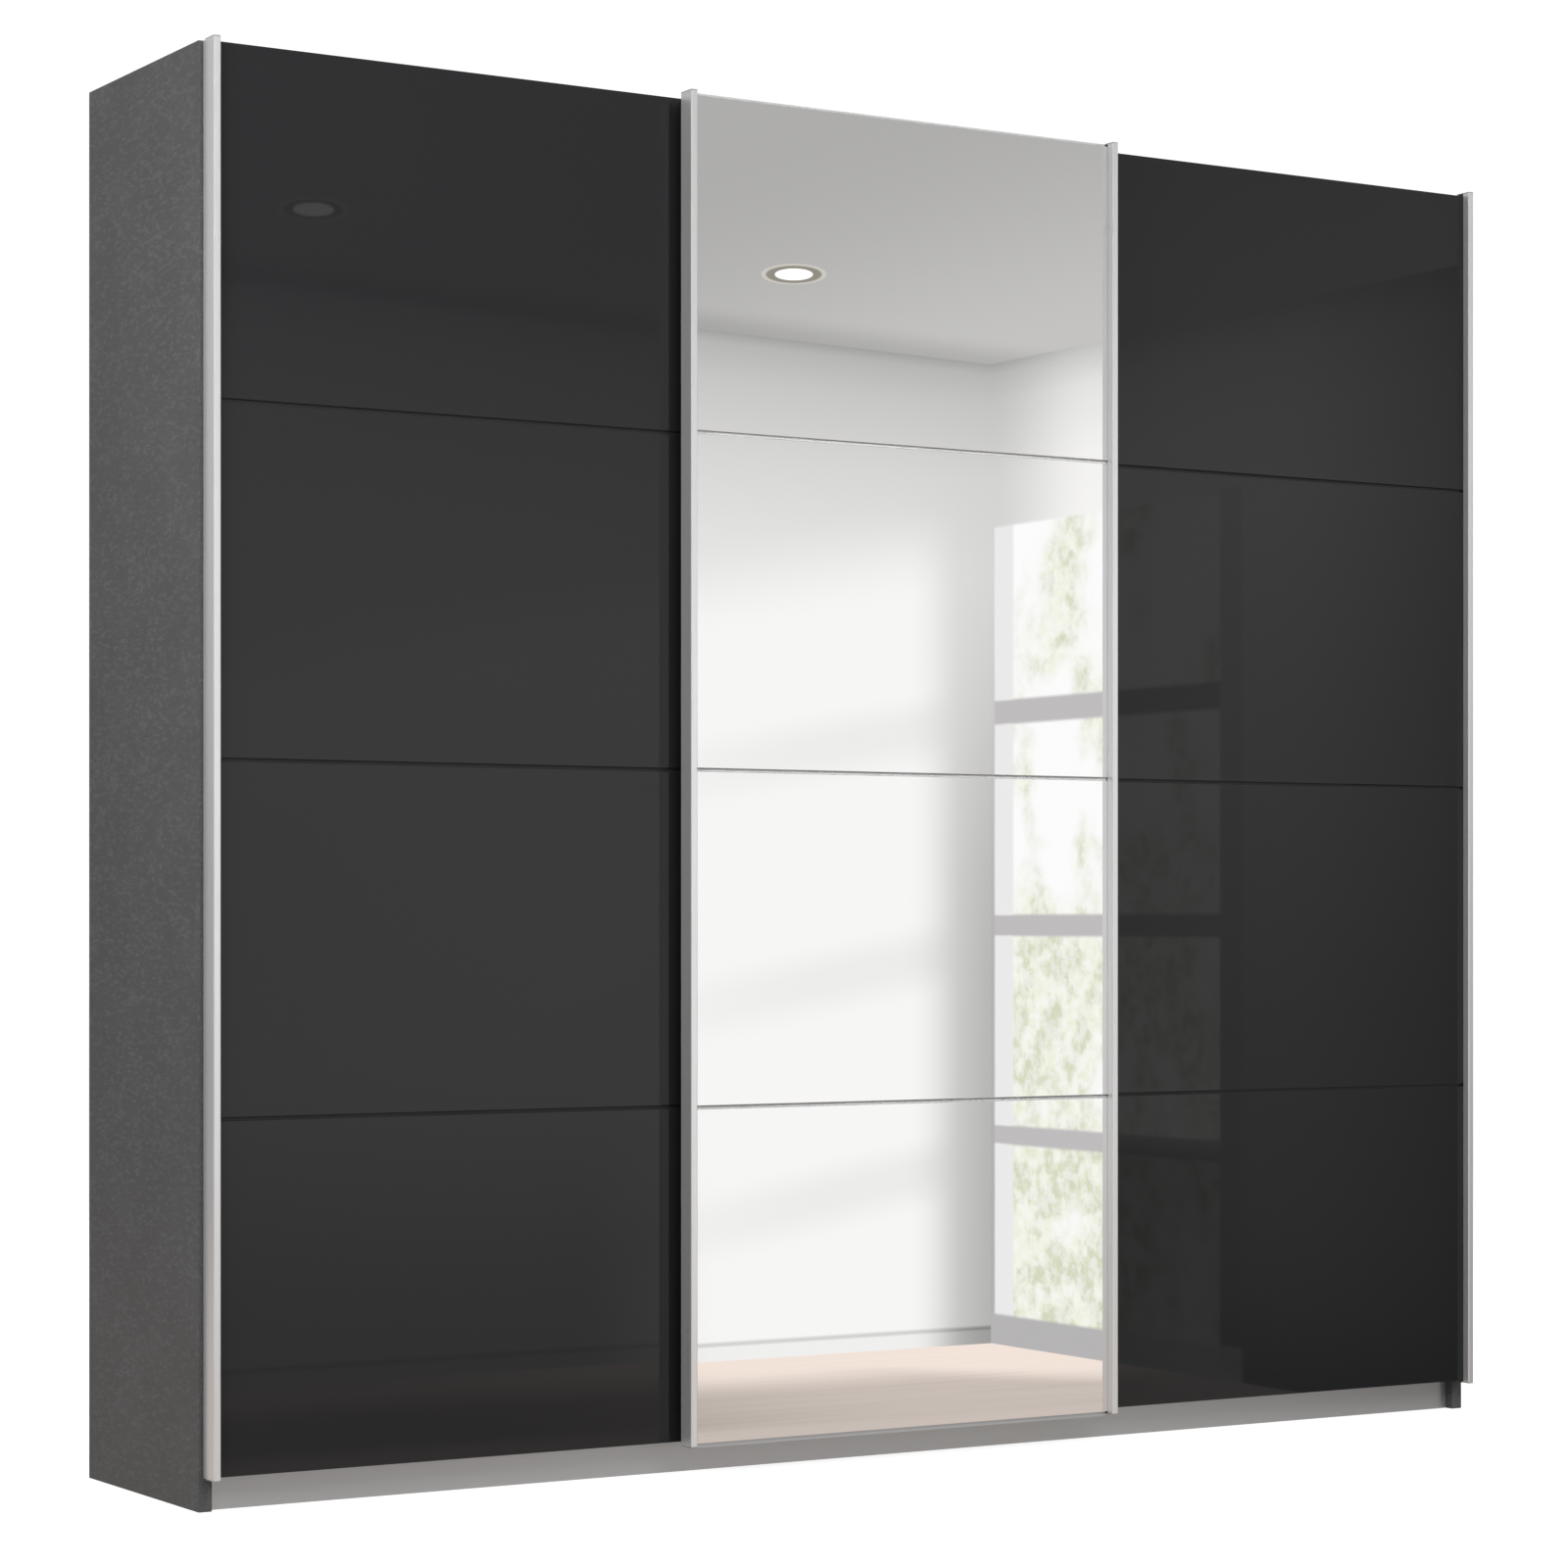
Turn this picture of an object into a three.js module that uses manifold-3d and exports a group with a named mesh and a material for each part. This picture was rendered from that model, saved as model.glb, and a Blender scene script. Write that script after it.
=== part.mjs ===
// Sliding door wardrobe: a board carcass with three bays, closed by two outer doors of dark
// lacquered glass and a middle mirror door. The outer doors share the rear rail, the middle door
// has the front rail. Each door hangs from two rollers and is kept upright by two guides below.
//
// Millimetres. +X is to the right, +Y to the back, +Z up. The origin is on the floor, at the
// centre of the outline. Inside the wardrobe group, y = 0 is the front edge of the carcass.

import * as THREE from "three";
import { mergeVertices } from "three/addons/utils/BufferGeometryUtils.js";
import Module from "manifold-3d";

const wasm = await Module();
wasm.setup();

// Overall sizes
const wardrobeWidth = 2500; // over the two side panels
const wardrobeHeight = 2230; // floor to the top of the side panels and door stiles
const carcassDepth = 445; // front edge to back edge of a side panel
const seat = 0.3; // gap between two pieces that rest on or against each other

// Carcass boards
const sideThickness = 22;
const partitionThickness = 16;
const topThickness = 22;
const bottomThickness = 16;
const shelfThickness = 16;
const plinthThickness = 16;
const backThickness = 3.2;
const plinthHeight = 54;
const plinthSetback = 17; // front of the plinth behind the front edge of the carcass
const partitionSetback = 20; // front edge of a partition behind that of the carcass
const backInset = 12; // front of the back panel to the back edge of a side panel
const backGrooveDepth = 8; // groove in a side panel that holds the back panel's edge
const rearPlinthInset = 35; // back of the rear plinth to the back edge of a side panel
const bayCount = 3;

// Fittings in the bays
const hatSpace = 362; // clear height between a shelf and the top panel
const shelfSideGap = 1;
const shelfFrontSetback = 25; // behind the front edge of a partition
const railDrop = 58; // underside of the shelf to the middle of the hanging rail
const railWidth = 15;
const railHeight = 30;
const railWall = 1.2;
const railEndGap = 1;

// Doors
const doorOverlap = 26; // an outer door under the middle door, on each side, when that is centred
const middleDoorRest = -11; // middle of the middle door at rest, a little left of the wardrobe's
const doorSideInset = 7; // outer face of an end stile inside the face of the side panel
const doorFloorGap = 52; // floor to the bottom of a stile
const stileFace = 12; // width of a stile seen from the front
const stileProud = 15.5; // a stile stands this far in front of the glass
const stileWeb = 2;
const stileLip = 9; // the stile's rear flange over the board
const stileLipThickness = 1.9;
const stileFlute = 1.2; // rounded corner of the grip
const paneThickness = 4;
const boardThickness = 11.5;
const paneCount = 4;
const paneJoint = 5; // shadow gap between two panes
const glassTopDrop = 4; // top of the stiles to the top of the glass
const glassBottomRise = 2.5; // bottom of the stiles to the bottom of the glass
const doorToCarcass = 8.5; // back of an outer door to the front edge of the carcass
const doorToDoor = 4; // back of the middle door to the front of the outer doors
const dustFinGap = 1.5; // end stile's rear fin to the front edge of the side panel

// Top track and hangers
const rearRailLine = 18; // middle of the outer doors' rail behind the carcass front
const frontRailLine = 48; // middle of the middle door's rail
const railRib = 3;
const railRibHeight = 14;
const trackWall = 2.7;
const trackLip = 6;
const trackFront = 6; // front of the track behind the carcass front
const trackBackGap = 14; // middle of the rear-most rail to the track's back wall
const rollerRadius = 14;
const rollerTread = 12; // radius at the bottom of the groove
const rollerWidth = 10;
const rollerBore = 4;
const treadHalfWidth = 1.9;
const flangeHalfWidth = 2.5;
const axleClearance = 0.3;
const axleHeadRadius = 6.5;
const axleHead = 2;
const rollerSideGap = 0.6;
const rollerTopGap = 5.5; // roller to the arm above it
const rearArmDrop = 8; // top of an outer door's arm below the top of the stiles
const frontArmRise = 1.5; // the middle door's arm above the stiles that pass under it
const hangerWidth = 64;
const hangerPlate = 2.3;
const hangerDrop = 105; // top of the stiles to the bottom of the plate on the board
const hangerBend = 3; // inner cut of the bend at the top of the plate
const hangerTail = 9; // plate below the axle
const hangerInset = 90; // door edge to the middle of a hanger, and of a guide

// Bottom track and guides
const grooveWidth = 5.8;
const grooveWall = 1.2;
const trackRearWall = 1.5;
const grooveHeight = 20;
const grooveFloorGap = 8; // top of the stiles' lower ends to the bottom of the grooves
const trackSkirt = 4; // the rear wall below the grooves
const guideFinger = 4.6;
const guideWidth = 40;
const guidePlate = 2.5;
const guideHeight = 50;
const guideArm = 6;
const guideArmClearance = 6; // an outer door's guide arm above the bottom track
const guideTipClearance = 2.8;
const underDoorClearance = 2.5; // the middle door's guide arm below the outer doors
const underDoorArm = 3.5;

// Sizes that follow from the driving ones
const innerHalfWidth = wardrobeWidth / 2 - sideThickness;
const bayWidth = (2 * innerHalfWidth - (bayCount - 1) * partitionThickness) / bayCount;
const bayPitch = bayWidth + partitionThickness;
const backFront = carcassDepth - backInset;
const boardBack = backFront - seat; // back edge of the boards in front of the back panel
const bottomTop = plinthHeight + seat + bottomThickness;
const topUnderside = wardrobeHeight - topThickness;
const shelfTop = topUnderside - hatSpace;
const shelfUnderside = shelfTop - shelfThickness;

const stileDepth = stileProud + paneThickness + boardThickness + stileLipThickness + 2 * seat;
const paneFront = stileProud;
const boardFront = paneFront + paneThickness + seat;
const boardRear = boardFront + boardThickness;
const outerDoorFront = -(doorToCarcass + stileDepth);
const middleDoorFront = outerDoorFront - doorToDoor - stileDepth;
const doorsSpan = wardrobeWidth - 2 * doorSideInset;
const doorWidth = (doorsSpan + 2 * doorOverlap) / bayCount;
const outerDoorCentre = (doorsSpan - doorWidth) / 2;
const glassTop = wardrobeHeight - glassTopDrop;
const glassBottom = doorFloorGap + glassBottomRise;
const paneHeight = (glassTop - glassBottom - (paneCount - 1) * paneJoint) / paneCount;

const rearArmBottom = wardrobeHeight - rearArmDrop - hangerPlate;
const frontArmBottom = wardrobeHeight + frontArmRise;
const axleHeight = rearArmBottom - rollerTopGap - rollerRadius;
const ribTop = axleHeight - rollerTread - seat;
const trackFloorTop = ribTop - railRibHeight;
const trackFloorBottom = trackFloorTop - trackWall;
const trackBack = frontRailLine + trackBackGap + trackWall;
const topPanelFront = trackBack + seat;

const bottomTrackBack = plinthSetback - seat;
const bottomTrackFront =
  bottomTrackBack - trackRearWall - 2 * grooveWidth - 2 * grooveWall;
const rearGrooveLine = bottomTrackFront + grooveWall + grooveWidth / 2;
const frontGrooveLine = rearGrooveLine + grooveWall + grooveWidth;
const grooveBottom = doorFloorGap + grooveFloorGap;
const grooveTop = grooveBottom + grooveHeight;

// Finishes
const finish = (color, roughness, metalness) =>
  new THREE.MeshStandardMaterial({ color, roughness, metalness });
const graphiteBoard = finish(0x555556, 0.62, 0);
const interiorBoard = finish(0xb9b5ae, 0.6, 0);
const backBoard = finish(0xa9a59e, 0.75, 0);
const plinthFoil = finish(0x8f9092, 0.42, 0.5);
const satinAluminium = finish(0xc4c5c7, 0.36, 1);
const rawAluminium = finish(0xb4b6b8, 0.45, 1);
const darkGlass = finish(0x2c2d2f, 0.04, 0);
const mirrorGlass = finish(0xe6e8e9, 0.02, 1);
const doorCore = finish(0x2a2a2b, 0.7, 0);
const mirrorCore = finish(0x8b8c8d, 0.7, 0);
const zincSteel = finish(0xa8abae, 0.38, 1);
const chromeSteel = finish(0xd9dbdc, 0.12, 1);
const rollerPlastic = finish(0xe4e2da, 0.45, 0);
const guidePlastic = finish(0x303133, 0.5, 0);

// Geometry helpers

// A box between two opposite corners.
function blockGeometry([x0, y0, z0], [x1, y1, z1]) {
  const geometry = new THREE.BoxGeometry(x1 - x0, y1 - y0, z1 - z0);
  return geometry.translate((x0 + x1) / 2, (y0 + y1) / 2, (z0 + z1) / 2);
}

// An outline in the XY plane carried up from z0 to z1.
function uprightGeometry(outline, z0, z1) {
  const shape = new THREE.Shape(outline.map(([x, y]) => new THREE.Vector2(x, y)));
  const options = { depth: z1 - z0, bevelEnabled: false };
  return new THREE.ExtrudeGeometry(shape, options).translate(0, 0, z0);
}

// A shape drawn in the YZ plane, carried along X from x0 to x1.
function alongGeometry(shape, x0, x1) {
  const options = { depth: x1 - x0, bevelEnabled: false, curveSegments: 8 };
  const turn = new THREE.Matrix4().makeBasis(
    new THREE.Vector3(0, 1, 0),
    new THREE.Vector3(0, 0, 1),
    new THREE.Vector3(1, 0, 0),
  );
  return new THREE.ExtrudeGeometry(shape, options).applyMatrix4(turn).translate(x0, 0, 0);
}

const profile = (points) =>
  new THREE.Shape(points.map(([y, z]) => new THREE.Vector2(y, z)));

// A closed mesh as a solid that can be joined or cut.
function solidOf(geometry) {
  const bare = geometry.clone();
  bare.deleteAttribute("normal");
  bare.deleteAttribute("uv");
  const merged = mergeVertices(bare, 1e-4);
  return new wasm.Manifold(
    new wasm.Mesh({
      numProp: 3,
      vertProperties: merged.attributes.position.array,
      triVerts: new Uint32Array(merged.index.array),
    }),
  );
}

// Several closed geometries joined into one.
function joinedGeometry(geometries) {
  const solids = geometries.map(solidOf);
  const { vertProperties, triVerts } = solids.reduce((all, next) => all.add(next)).getMesh();
  return new THREE.BufferGeometry()
    .setAttribute("position", new THREE.BufferAttribute(vertProperties, 3))
    .setIndex(new THREE.BufferAttribute(triVerts, 1));
}

function addPiece(group, name, geometry, material) {
  const piece = new THREE.Mesh(geometry, material);
  piece.name = name;
  group.add(piece);
  return piece;
}

// Carcass: side panels, partitions, top, bottoms, backs and plinths

// Side panel with a full-height groove for the back panel. side is -1 on the left, 1 on the right.
function addSidePanel(group, name, side) {
  const outer = (side * wardrobeWidth) / 2;
  const inner = side * innerHalfWidth;
  const grooveFloor = side * (innerHalfWidth + backGrooveDepth);
  const grooveFront = backFront - seat;
  const grooveBack = backFront + backThickness + seat;
  const outline = [
    [outer, 0],
    [inner, 0],
    [inner, grooveFront],
    [grooveFloor, grooveFront],
    [grooveFloor, grooveBack],
    [inner, grooveBack],
    [inner, carcassDepth],
    [outer, carcassDepth],
  ];
  addPiece(group, name, uprightGeometry(outline, 0, wardrobeHeight), graphiteBoard);
}

// Partition from the floor to the top, notched for both plinths and for the top track.
function addPartition(group, name, centre) {
  const frontNotch = plinthSetback + plinthThickness + seat;
  const rearPlinthFront = carcassDepth - rearPlinthInset - plinthThickness - seat;
  const notchTop = plinthHeight + seat;
  const outline = profile([
    [frontNotch, 0],
    [rearPlinthFront, 0],
    [rearPlinthFront, notchTop],
    [boardBack, notchTop],
    [boardBack, topUnderside - seat],
    [topPanelFront, topUnderside - seat],
    [topPanelFront, trackFloorBottom - seat],
    [partitionSetback, trackFloorBottom - seat],
    [partitionSetback, notchTop],
    [frontNotch, notchTop],
  ]);
  const half = partitionThickness / 2;
  addPiece(group, name, alongGeometry(outline, centre - half, centre + half), interiorBoard);
}

// Left and right edge of the clear width of a bay, counted from the left.
function bayEdges(bay) {
  const left = -innerHalfWidth + bay * bayPitch;
  return [left, left + bayWidth];
}

function addCarcass(group) {
  addSidePanel(group, "side_panel_left", -1);
  addSidePanel(group, "side_panel_right", 1);
  addPartition(group, "partition_left", -bayPitch / 2);
  addPartition(group, "partition_right", bayPitch / 2);

  const left = -innerHalfWidth + seat;
  const right = innerHalfWidth - seat;
  const topPanel = blockGeometry(
    [left, topPanelFront, topUnderside],
    [right, boardBack, wardrobeHeight],
  );
  addPiece(group, "top_panel", topPanel, interiorBoard);

  const plinthFront = blockGeometry(
    [left, plinthSetback, 0],
    [right, plinthSetback + plinthThickness, plinthHeight],
  );
  addPiece(group, "plinth_front", plinthFront, plinthFoil);
  const rearPlinthBack = carcassDepth - rearPlinthInset;
  const plinthRear = blockGeometry(
    [left, rearPlinthBack - plinthThickness, 0],
    [right, rearPlinthBack, plinthHeight],
  );
  addPiece(group, "plinth_rear", plinthRear, interiorBoard);
}

// Bottom, back, shelf and hanging rail of one bay.
function addBay(group, name, bay) {
  const [left, right] = bayEdges(bay);
  const bottom = blockGeometry(
    [left + seat, plinthSetback, plinthHeight + seat],
    [right - seat, boardBack, bottomTop],
  );
  addPiece(group, `bottom_panel_${name}`, bottom, interiorBoard);

  const overGroove = backGrooveDepth - seat;
  const overPartition = partitionThickness / 2 - seat;
  const backLeft = left - (bay === 0 ? overGroove : overPartition);
  const backRight = right + (bay === bayCount - 1 ? overGroove : overPartition);
  const back = blockGeometry(
    [backLeft, backFront, plinthHeight + seat],
    [backRight, backFront + backThickness, wardrobeHeight - seat],
  );
  addPiece(group, `back_panel_${name}`, back, backBoard);

  const shelf = blockGeometry(
    [left + shelfSideGap, partitionSetback + shelfFrontSetback, shelfUnderside],
    [right - shelfSideGap, boardBack - shelfSideGap, shelfTop],
  );
  addPiece(group, `shelf_${name}`, shelf, interiorBoard);

  const middle = new THREE.Vector2(
    (partitionSetback + boardBack) / 2,
    shelfUnderside - railDrop,
  );
  const oval = roundedBar(middle, railWidth, railHeight);
  oval.holes.push(roundedBar(middle, railWidth - 2 * railWall, railHeight - 2 * railWall));
  const rail = alongGeometry(oval, left + railEndGap, right - railEndGap);
  addPiece(group, `hanging_rail_${name}`, rail, chromeSteel);
}

// A bar's section with half-round ends, upright.
function roundedBar(middle, width, height) {
  const radius = width / 2;
  const straight = (height - width) / 2;
  const shape = new THREE.Shape();
  shape.absarc(middle.x, middle.y + straight, radius, 0, Math.PI, false);
  shape.absarc(middle.x, middle.y - straight, radius, Math.PI, 2 * Math.PI, false);
  shape.closePath();
  return shape;
}

// Tracks

// Double top track: a floor with two running ribs, a front lip and a back wall.
function addTopTrack(group) {
  const half = railRib / 2;
  const outline = profile([
    [trackFront, trackFloorBottom],
    [trackBack, trackFloorBottom],
    [trackBack, wardrobeHeight - seat],
    [trackBack - trackWall, wardrobeHeight - seat],
    [trackBack - trackWall, trackFloorTop],
    [frontRailLine + half, trackFloorTop],
    [frontRailLine + half, ribTop],
    [frontRailLine - half, ribTop],
    [frontRailLine - half, trackFloorTop],
    [rearRailLine + half, trackFloorTop],
    [rearRailLine + half, ribTop],
    [rearRailLine - half, ribTop],
    [rearRailLine - half, trackFloorTop],
    [trackFront + trackWall, trackFloorTop],
    [trackFront + trackWall, trackFloorTop + trackLip],
    [trackFront, trackFloorTop + trackLip],
  ]);
  const end = innerHalfWidth - seat;
  addPiece(group, "top_track", alongGeometry(outline, -end, end), rawAluminium);
}

// Bottom track: one groove open upwards for the outer doors, one open downwards for the middle.
function addBottomTrack(group) {
  const frontWallBack = bottomTrackFront + grooveWall;
  const middleWallFront = frontWallBack + grooveWidth;
  const middleWallBack = middleWallFront + grooveWall;
  const rearWallFront = middleWallBack + grooveWidth;
  const outline = profile([
    [bottomTrackFront, grooveBottom],
    [middleWallBack, grooveBottom],
    [middleWallBack, grooveTop - grooveWall],
    [rearWallFront, grooveTop - grooveWall],
    [rearWallFront, grooveBottom - trackSkirt],
    [bottomTrackBack, grooveBottom - trackSkirt],
    [bottomTrackBack, grooveTop],
    [middleWallFront, grooveTop],
    [middleWallFront, grooveBottom + grooveWall],
    [frontWallBack, grooveBottom + grooveWall],
    [frontWallBack, grooveTop],
    [bottomTrackFront, grooveTop],
  ]);
  const end = innerHalfWidth - seat;
  addPiece(group, "bottom_track", alongGeometry(outline, -end, end), rawAluminium);
}

// Doors. In a door's group, x = 0 is its middle and y = 0 the front of its stiles.

// Aluminium stile: a grip in front of the glass, a pocket for the pane and board, and a rear
// flange. fin is how far the outer web runs on behind the flange. side is -1 left, 1 right.
function addStile(group, name, side, fin) {
  const edge = (side * doorWidth) / 2;
  const at = (inwards, y) => [edge - side * inwards, y];
  const pocketFront = paneFront - seat;
  const lipFront = stileDepth - stileLipThickness;
  const finCorner = [at(stileWeb, stileDepth), at(stileWeb, stileDepth + fin)];
  const outline = [
    at(stileFlute, 0),
    at(stileFace - stileFlute, 0),
    at(stileFace, stileFlute),
    at(stileFace, pocketFront),
    at(stileWeb, pocketFront),
    at(stileWeb, lipFront),
    at(stileLip, lipFront),
    at(stileLip, stileDepth),
    ...(fin > 0 ? finCorner : []),
    at(0, stileDepth + fin),
    at(0, stileFlute),
  ];
  const stile = uprightGeometry(outline, doorFloorGap, wardrobeHeight);
  addPiece(group, name, stile, satinAluminium);
}

// Board and panes, held in the stiles' pockets.
function addLeaf(group, name, glass, core) {
  const half = doorWidth / 2 - stileWeb - seat;
  const board = blockGeometry([-half, boardFront, glassBottom], [half, boardRear, glassTop]);
  addPiece(group, `${name}_board`, board, core);
  for (let i = 0; i < paneCount; i++) {
    const top = glassTop - i * (paneHeight + paneJoint);
    const pane = blockGeometry(
      [-half, paneFront, top - paneHeight],
      [half, paneFront + paneThickness, top],
    );
    addPiece(group, `${name}_pane_${i + 1}`, pane, glass);
  }
}

// Bent steel plate with an axle: screwed to the back of the board, over the top, down to a roller.
function addHanger(group, name, centre, armBottom, railLine) {
  const front = boardRear + seat;
  const tail = railLine + rollerWidth / 2 + rollerSideGap;
  const outerBend = hangerBend + hangerPlate * (2 - Math.SQRT2);
  const armTop = armBottom + hangerPlate;
  const outline = profile([
    [front, wardrobeHeight - hangerDrop],
    [front + hangerPlate, wardrobeHeight - hangerDrop],
    [front + hangerPlate, armBottom - hangerBend],
    [front + hangerPlate + hangerBend, armBottom],
    [tail, armBottom],
    [tail, axleHeight - hangerTail],
    [tail + hangerPlate, axleHeight - hangerTail],
    [tail + hangerPlate, armTop - outerBend],
    [tail + hangerPlate - outerBend, armTop],
    [front + outerBend, armTop],
    [front, armTop - outerBend],
  ]);
  const half = hangerWidth / 2;
  const plate = alongGeometry(outline, centre - half, centre + half);
  const headBack = railLine - rollerWidth / 2 - rollerSideGap;
  const axleEnd = tail + hangerPlate / 2;
  const axle = new THREE.CylinderGeometry(
    rollerBore - axleClearance,
    rollerBore - axleClearance,
    axleEnd - headBack + axleHead / 2,
    20,
  ).translate(centre, (axleEnd + headBack - axleHead / 2) / 2, axleHeight);
  const head = new THREE.CylinderGeometry(axleHeadRadius, axleHeadRadius, axleHead, 20)
    .translate(centre, headBack - axleHead / 2, axleHeight);
  addPiece(group, name, joinedGeometry([plate, axle, head]), zincSteel);
}

// Grooved roller that turns on the hanger's axle.
function addRoller(group, name, centre, railLine) {
  const half = rollerWidth / 2;
  const section = [
    [rollerBore, -half],
    [rollerRadius, -half],
    [rollerRadius, -flangeHalfWidth],
    [rollerTread, -treadHalfWidth],
    [rollerTread, treadHalfWidth],
    [rollerRadius, flangeHalfWidth],
    [rollerRadius, half],
    [rollerBore, half],
    [rollerBore, -half],
  ].map(([r, y]) => new THREE.Vector2(r, y));
  const roller = new THREE.LatheGeometry(section, 28).translate(centre, railLine, axleHeight);
  addPiece(group, name, roller, rollerPlastic);
}

// Guide of an outer door: an arm behind the board with a finger down in the rear groove.
function outerGuideOutline(front, line) {
  const armBottom = grooveTop + guideArmClearance;
  const tip = grooveBottom + grooveWall + guideTipClearance;
  return profile([
    [front, armBottom],
    [line - guideFinger / 2, armBottom],
    [line - guideFinger / 2, tip],
    [line + guideFinger / 2, tip],
    [line + guideFinger / 2, armBottom + guideArm],
    [front + guidePlate, armBottom + guideArm],
    [front + guidePlate, armBottom + guideHeight],
    [front, armBottom + guideHeight],
  ]);
}

// Guide of the middle door: an arm under the outer doors with a finger up in the front groove.
function middleGuideOutline(front, line) {
  const armTop = doorFloorGap - underDoorClearance;
  const armBottom = armTop - underDoorArm;
  const tip = grooveTop - grooveWall - guideTipClearance;
  return profile([
    [front, armBottom],
    [line + guideFinger / 2, armBottom],
    [line + guideFinger / 2, tip],
    [line - guideFinger / 2, tip],
    [line - guideFinger / 2, armTop],
    [front + guidePlate, armTop],
    [front + guidePlate, glassBottom + guideHeight],
    [front, glassBottom + guideHeight],
  ]);
}

function addGuide(group, name, centre, outline) {
  const half = guideWidth / 2;
  addPiece(group, name, alongGeometry(outline, centre - half, centre + half), guidePlastic);
}

// One whole door. fins gives the rear fin of the left and of the right stile.
function addDoor(group, name, { centre, front, railLine, armBottom, fins, glass, core, guide }) {
  const door = new THREE.Group();
  door.position.set(centre, front, 0);
  group.add(door);
  addLeaf(door, name, glass, core);
  [["left", -1], ["right", 1]].forEach(([place, side], i) => {
    const middle = side * (doorWidth / 2 - hangerInset);
    addStile(door, `${name}_stile_${place}`, side, fins[i]);
    addHanger(door, `${name}_hanger_${place}`, middle, armBottom, railLine - front);
    addRoller(door, `${name}_roller_${place}`, middle, railLine - front);
    addGuide(door, `${name}_guide_${place}`, middle, guide);
  });
}

function addDoors(group) {
  const guideFront = boardRear + seat;
  const fin = doorToCarcass - dustFinGap;
  const outer = {
    front: outerDoorFront,
    railLine: rearRailLine,
    armBottom: rearArmBottom,
    glass: darkGlass,
    core: doorCore,
    guide: outerGuideOutline(guideFront, rearGrooveLine - outerDoorFront),
  };
  addDoor(group, "door_left", { ...outer, centre: -outerDoorCentre, fins: [fin, 0] });
  addDoor(group, "door_right", { ...outer, centre: outerDoorCentre, fins: [0, fin] });
  addDoor(group, "door_middle", {
    centre: middleDoorRest,
    front: middleDoorFront,
    railLine: frontRailLine,
    armBottom: frontArmBottom,
    fins: [0, 0],
    glass: mirrorGlass,
    core: mirrorCore,
    guide: middleGuideOutline(guideFront, frontGrooveLine - middleDoorFront),
  });
}

const wardrobe = new THREE.Group();
wardrobe.position.y = -(middleDoorFront + carcassDepth) / 2;
addCarcass(wardrobe);
["left", "middle", "right"].forEach((name, bay) => addBay(wardrobe, name, bay));
addTopTrack(wardrobe);
addBottomTrack(wardrobe);
addDoors(wardrobe);

const part = new THREE.Group();
part.add(wardrobe);
export default part;
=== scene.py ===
import logging
import math
from dataclasses import dataclass, field
from enum import Enum
from typing import Any, Callable, Iterable, Optional, Sequence, Union

import bmesh
import bpy
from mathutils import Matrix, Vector


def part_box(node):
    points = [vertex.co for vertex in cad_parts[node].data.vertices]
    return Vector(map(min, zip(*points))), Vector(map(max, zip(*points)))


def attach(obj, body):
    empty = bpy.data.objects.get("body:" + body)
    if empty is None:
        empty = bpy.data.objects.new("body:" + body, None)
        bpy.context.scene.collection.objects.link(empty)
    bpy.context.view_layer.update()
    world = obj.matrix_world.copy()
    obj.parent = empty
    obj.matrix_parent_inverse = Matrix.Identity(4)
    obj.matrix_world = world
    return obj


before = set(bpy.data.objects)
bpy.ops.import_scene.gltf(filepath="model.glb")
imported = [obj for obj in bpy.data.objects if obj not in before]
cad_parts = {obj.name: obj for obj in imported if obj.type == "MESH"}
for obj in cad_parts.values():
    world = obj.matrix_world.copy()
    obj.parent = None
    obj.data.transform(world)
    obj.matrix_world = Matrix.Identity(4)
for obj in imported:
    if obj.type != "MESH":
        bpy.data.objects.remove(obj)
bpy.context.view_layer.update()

LOG = logging.getLogger("wardrobe")
MM = 0.001
SHARP_EDGE = math.radians(35)

Number = Union[int, float]
Point = Sequence[float]
Colour = tuple[float, float, float]


# ---------------------------------------------------------------- node trees


def operator(operation: str, turned: bool = False) -> Callable[["Wire", Any], "Wire"]:
    """A method that adds one Math node over the wire and another value.

    Args:
        operation: The node's operation.
        turned: Whether the other value comes first.

    Returns:
        The method.
    """

    def method(self: "Wire", other: "Wire | Number") -> "Wire":
        """The node's result."""
        values = (other, self) if turned else (self, other)
        return self.sheet.node("ShaderNodeMath", {"operation": operation}, dict(enumerate(values)))

    return method


class Wire:
    """An output socket of a node tree; arithmetic on it adds Math nodes."""

    def __init__(self, sheet: "Sheet", socket: Optional[bpy.types.NodeSocket]) -> None:
        """Keeps the tree and the socket."""
        self.sheet = sheet
        self.socket = socket

    __add__ = __radd__ = operator("ADD")
    __mul__ = __rmul__ = operator("MULTIPLY")
    __sub__ = operator("SUBTRACT")
    __rsub__ = operator("SUBTRACT", turned=True)
    __truediv__ = operator("DIVIDE")
    __rtruediv__ = operator("DIVIDE", turned=True)
    lowest = operator("MINIMUM")

    def ease(self, start: float, end: float, low: float = 0.0, high: float = 1.0) -> "Wire":
        """Goes smoothly from low to high as the value goes from start to end.

        Args:
            start: Value at which the change starts.
            end: Value at which it ends; it may be below start.
            low: Result at start.
            high: Result at end.

        Returns:
            The eased value.
        """
        if end < start:
            start, end, low, high = end, start, high, low
        return self.sheet.node(
            "ShaderNodeMapRange",
            {"interpolation_type": "SMOOTHSTEP"},
            {"Value": self, "From Min": start, "From Max": end, "To Min": low, "To Max": high},
        )


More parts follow.
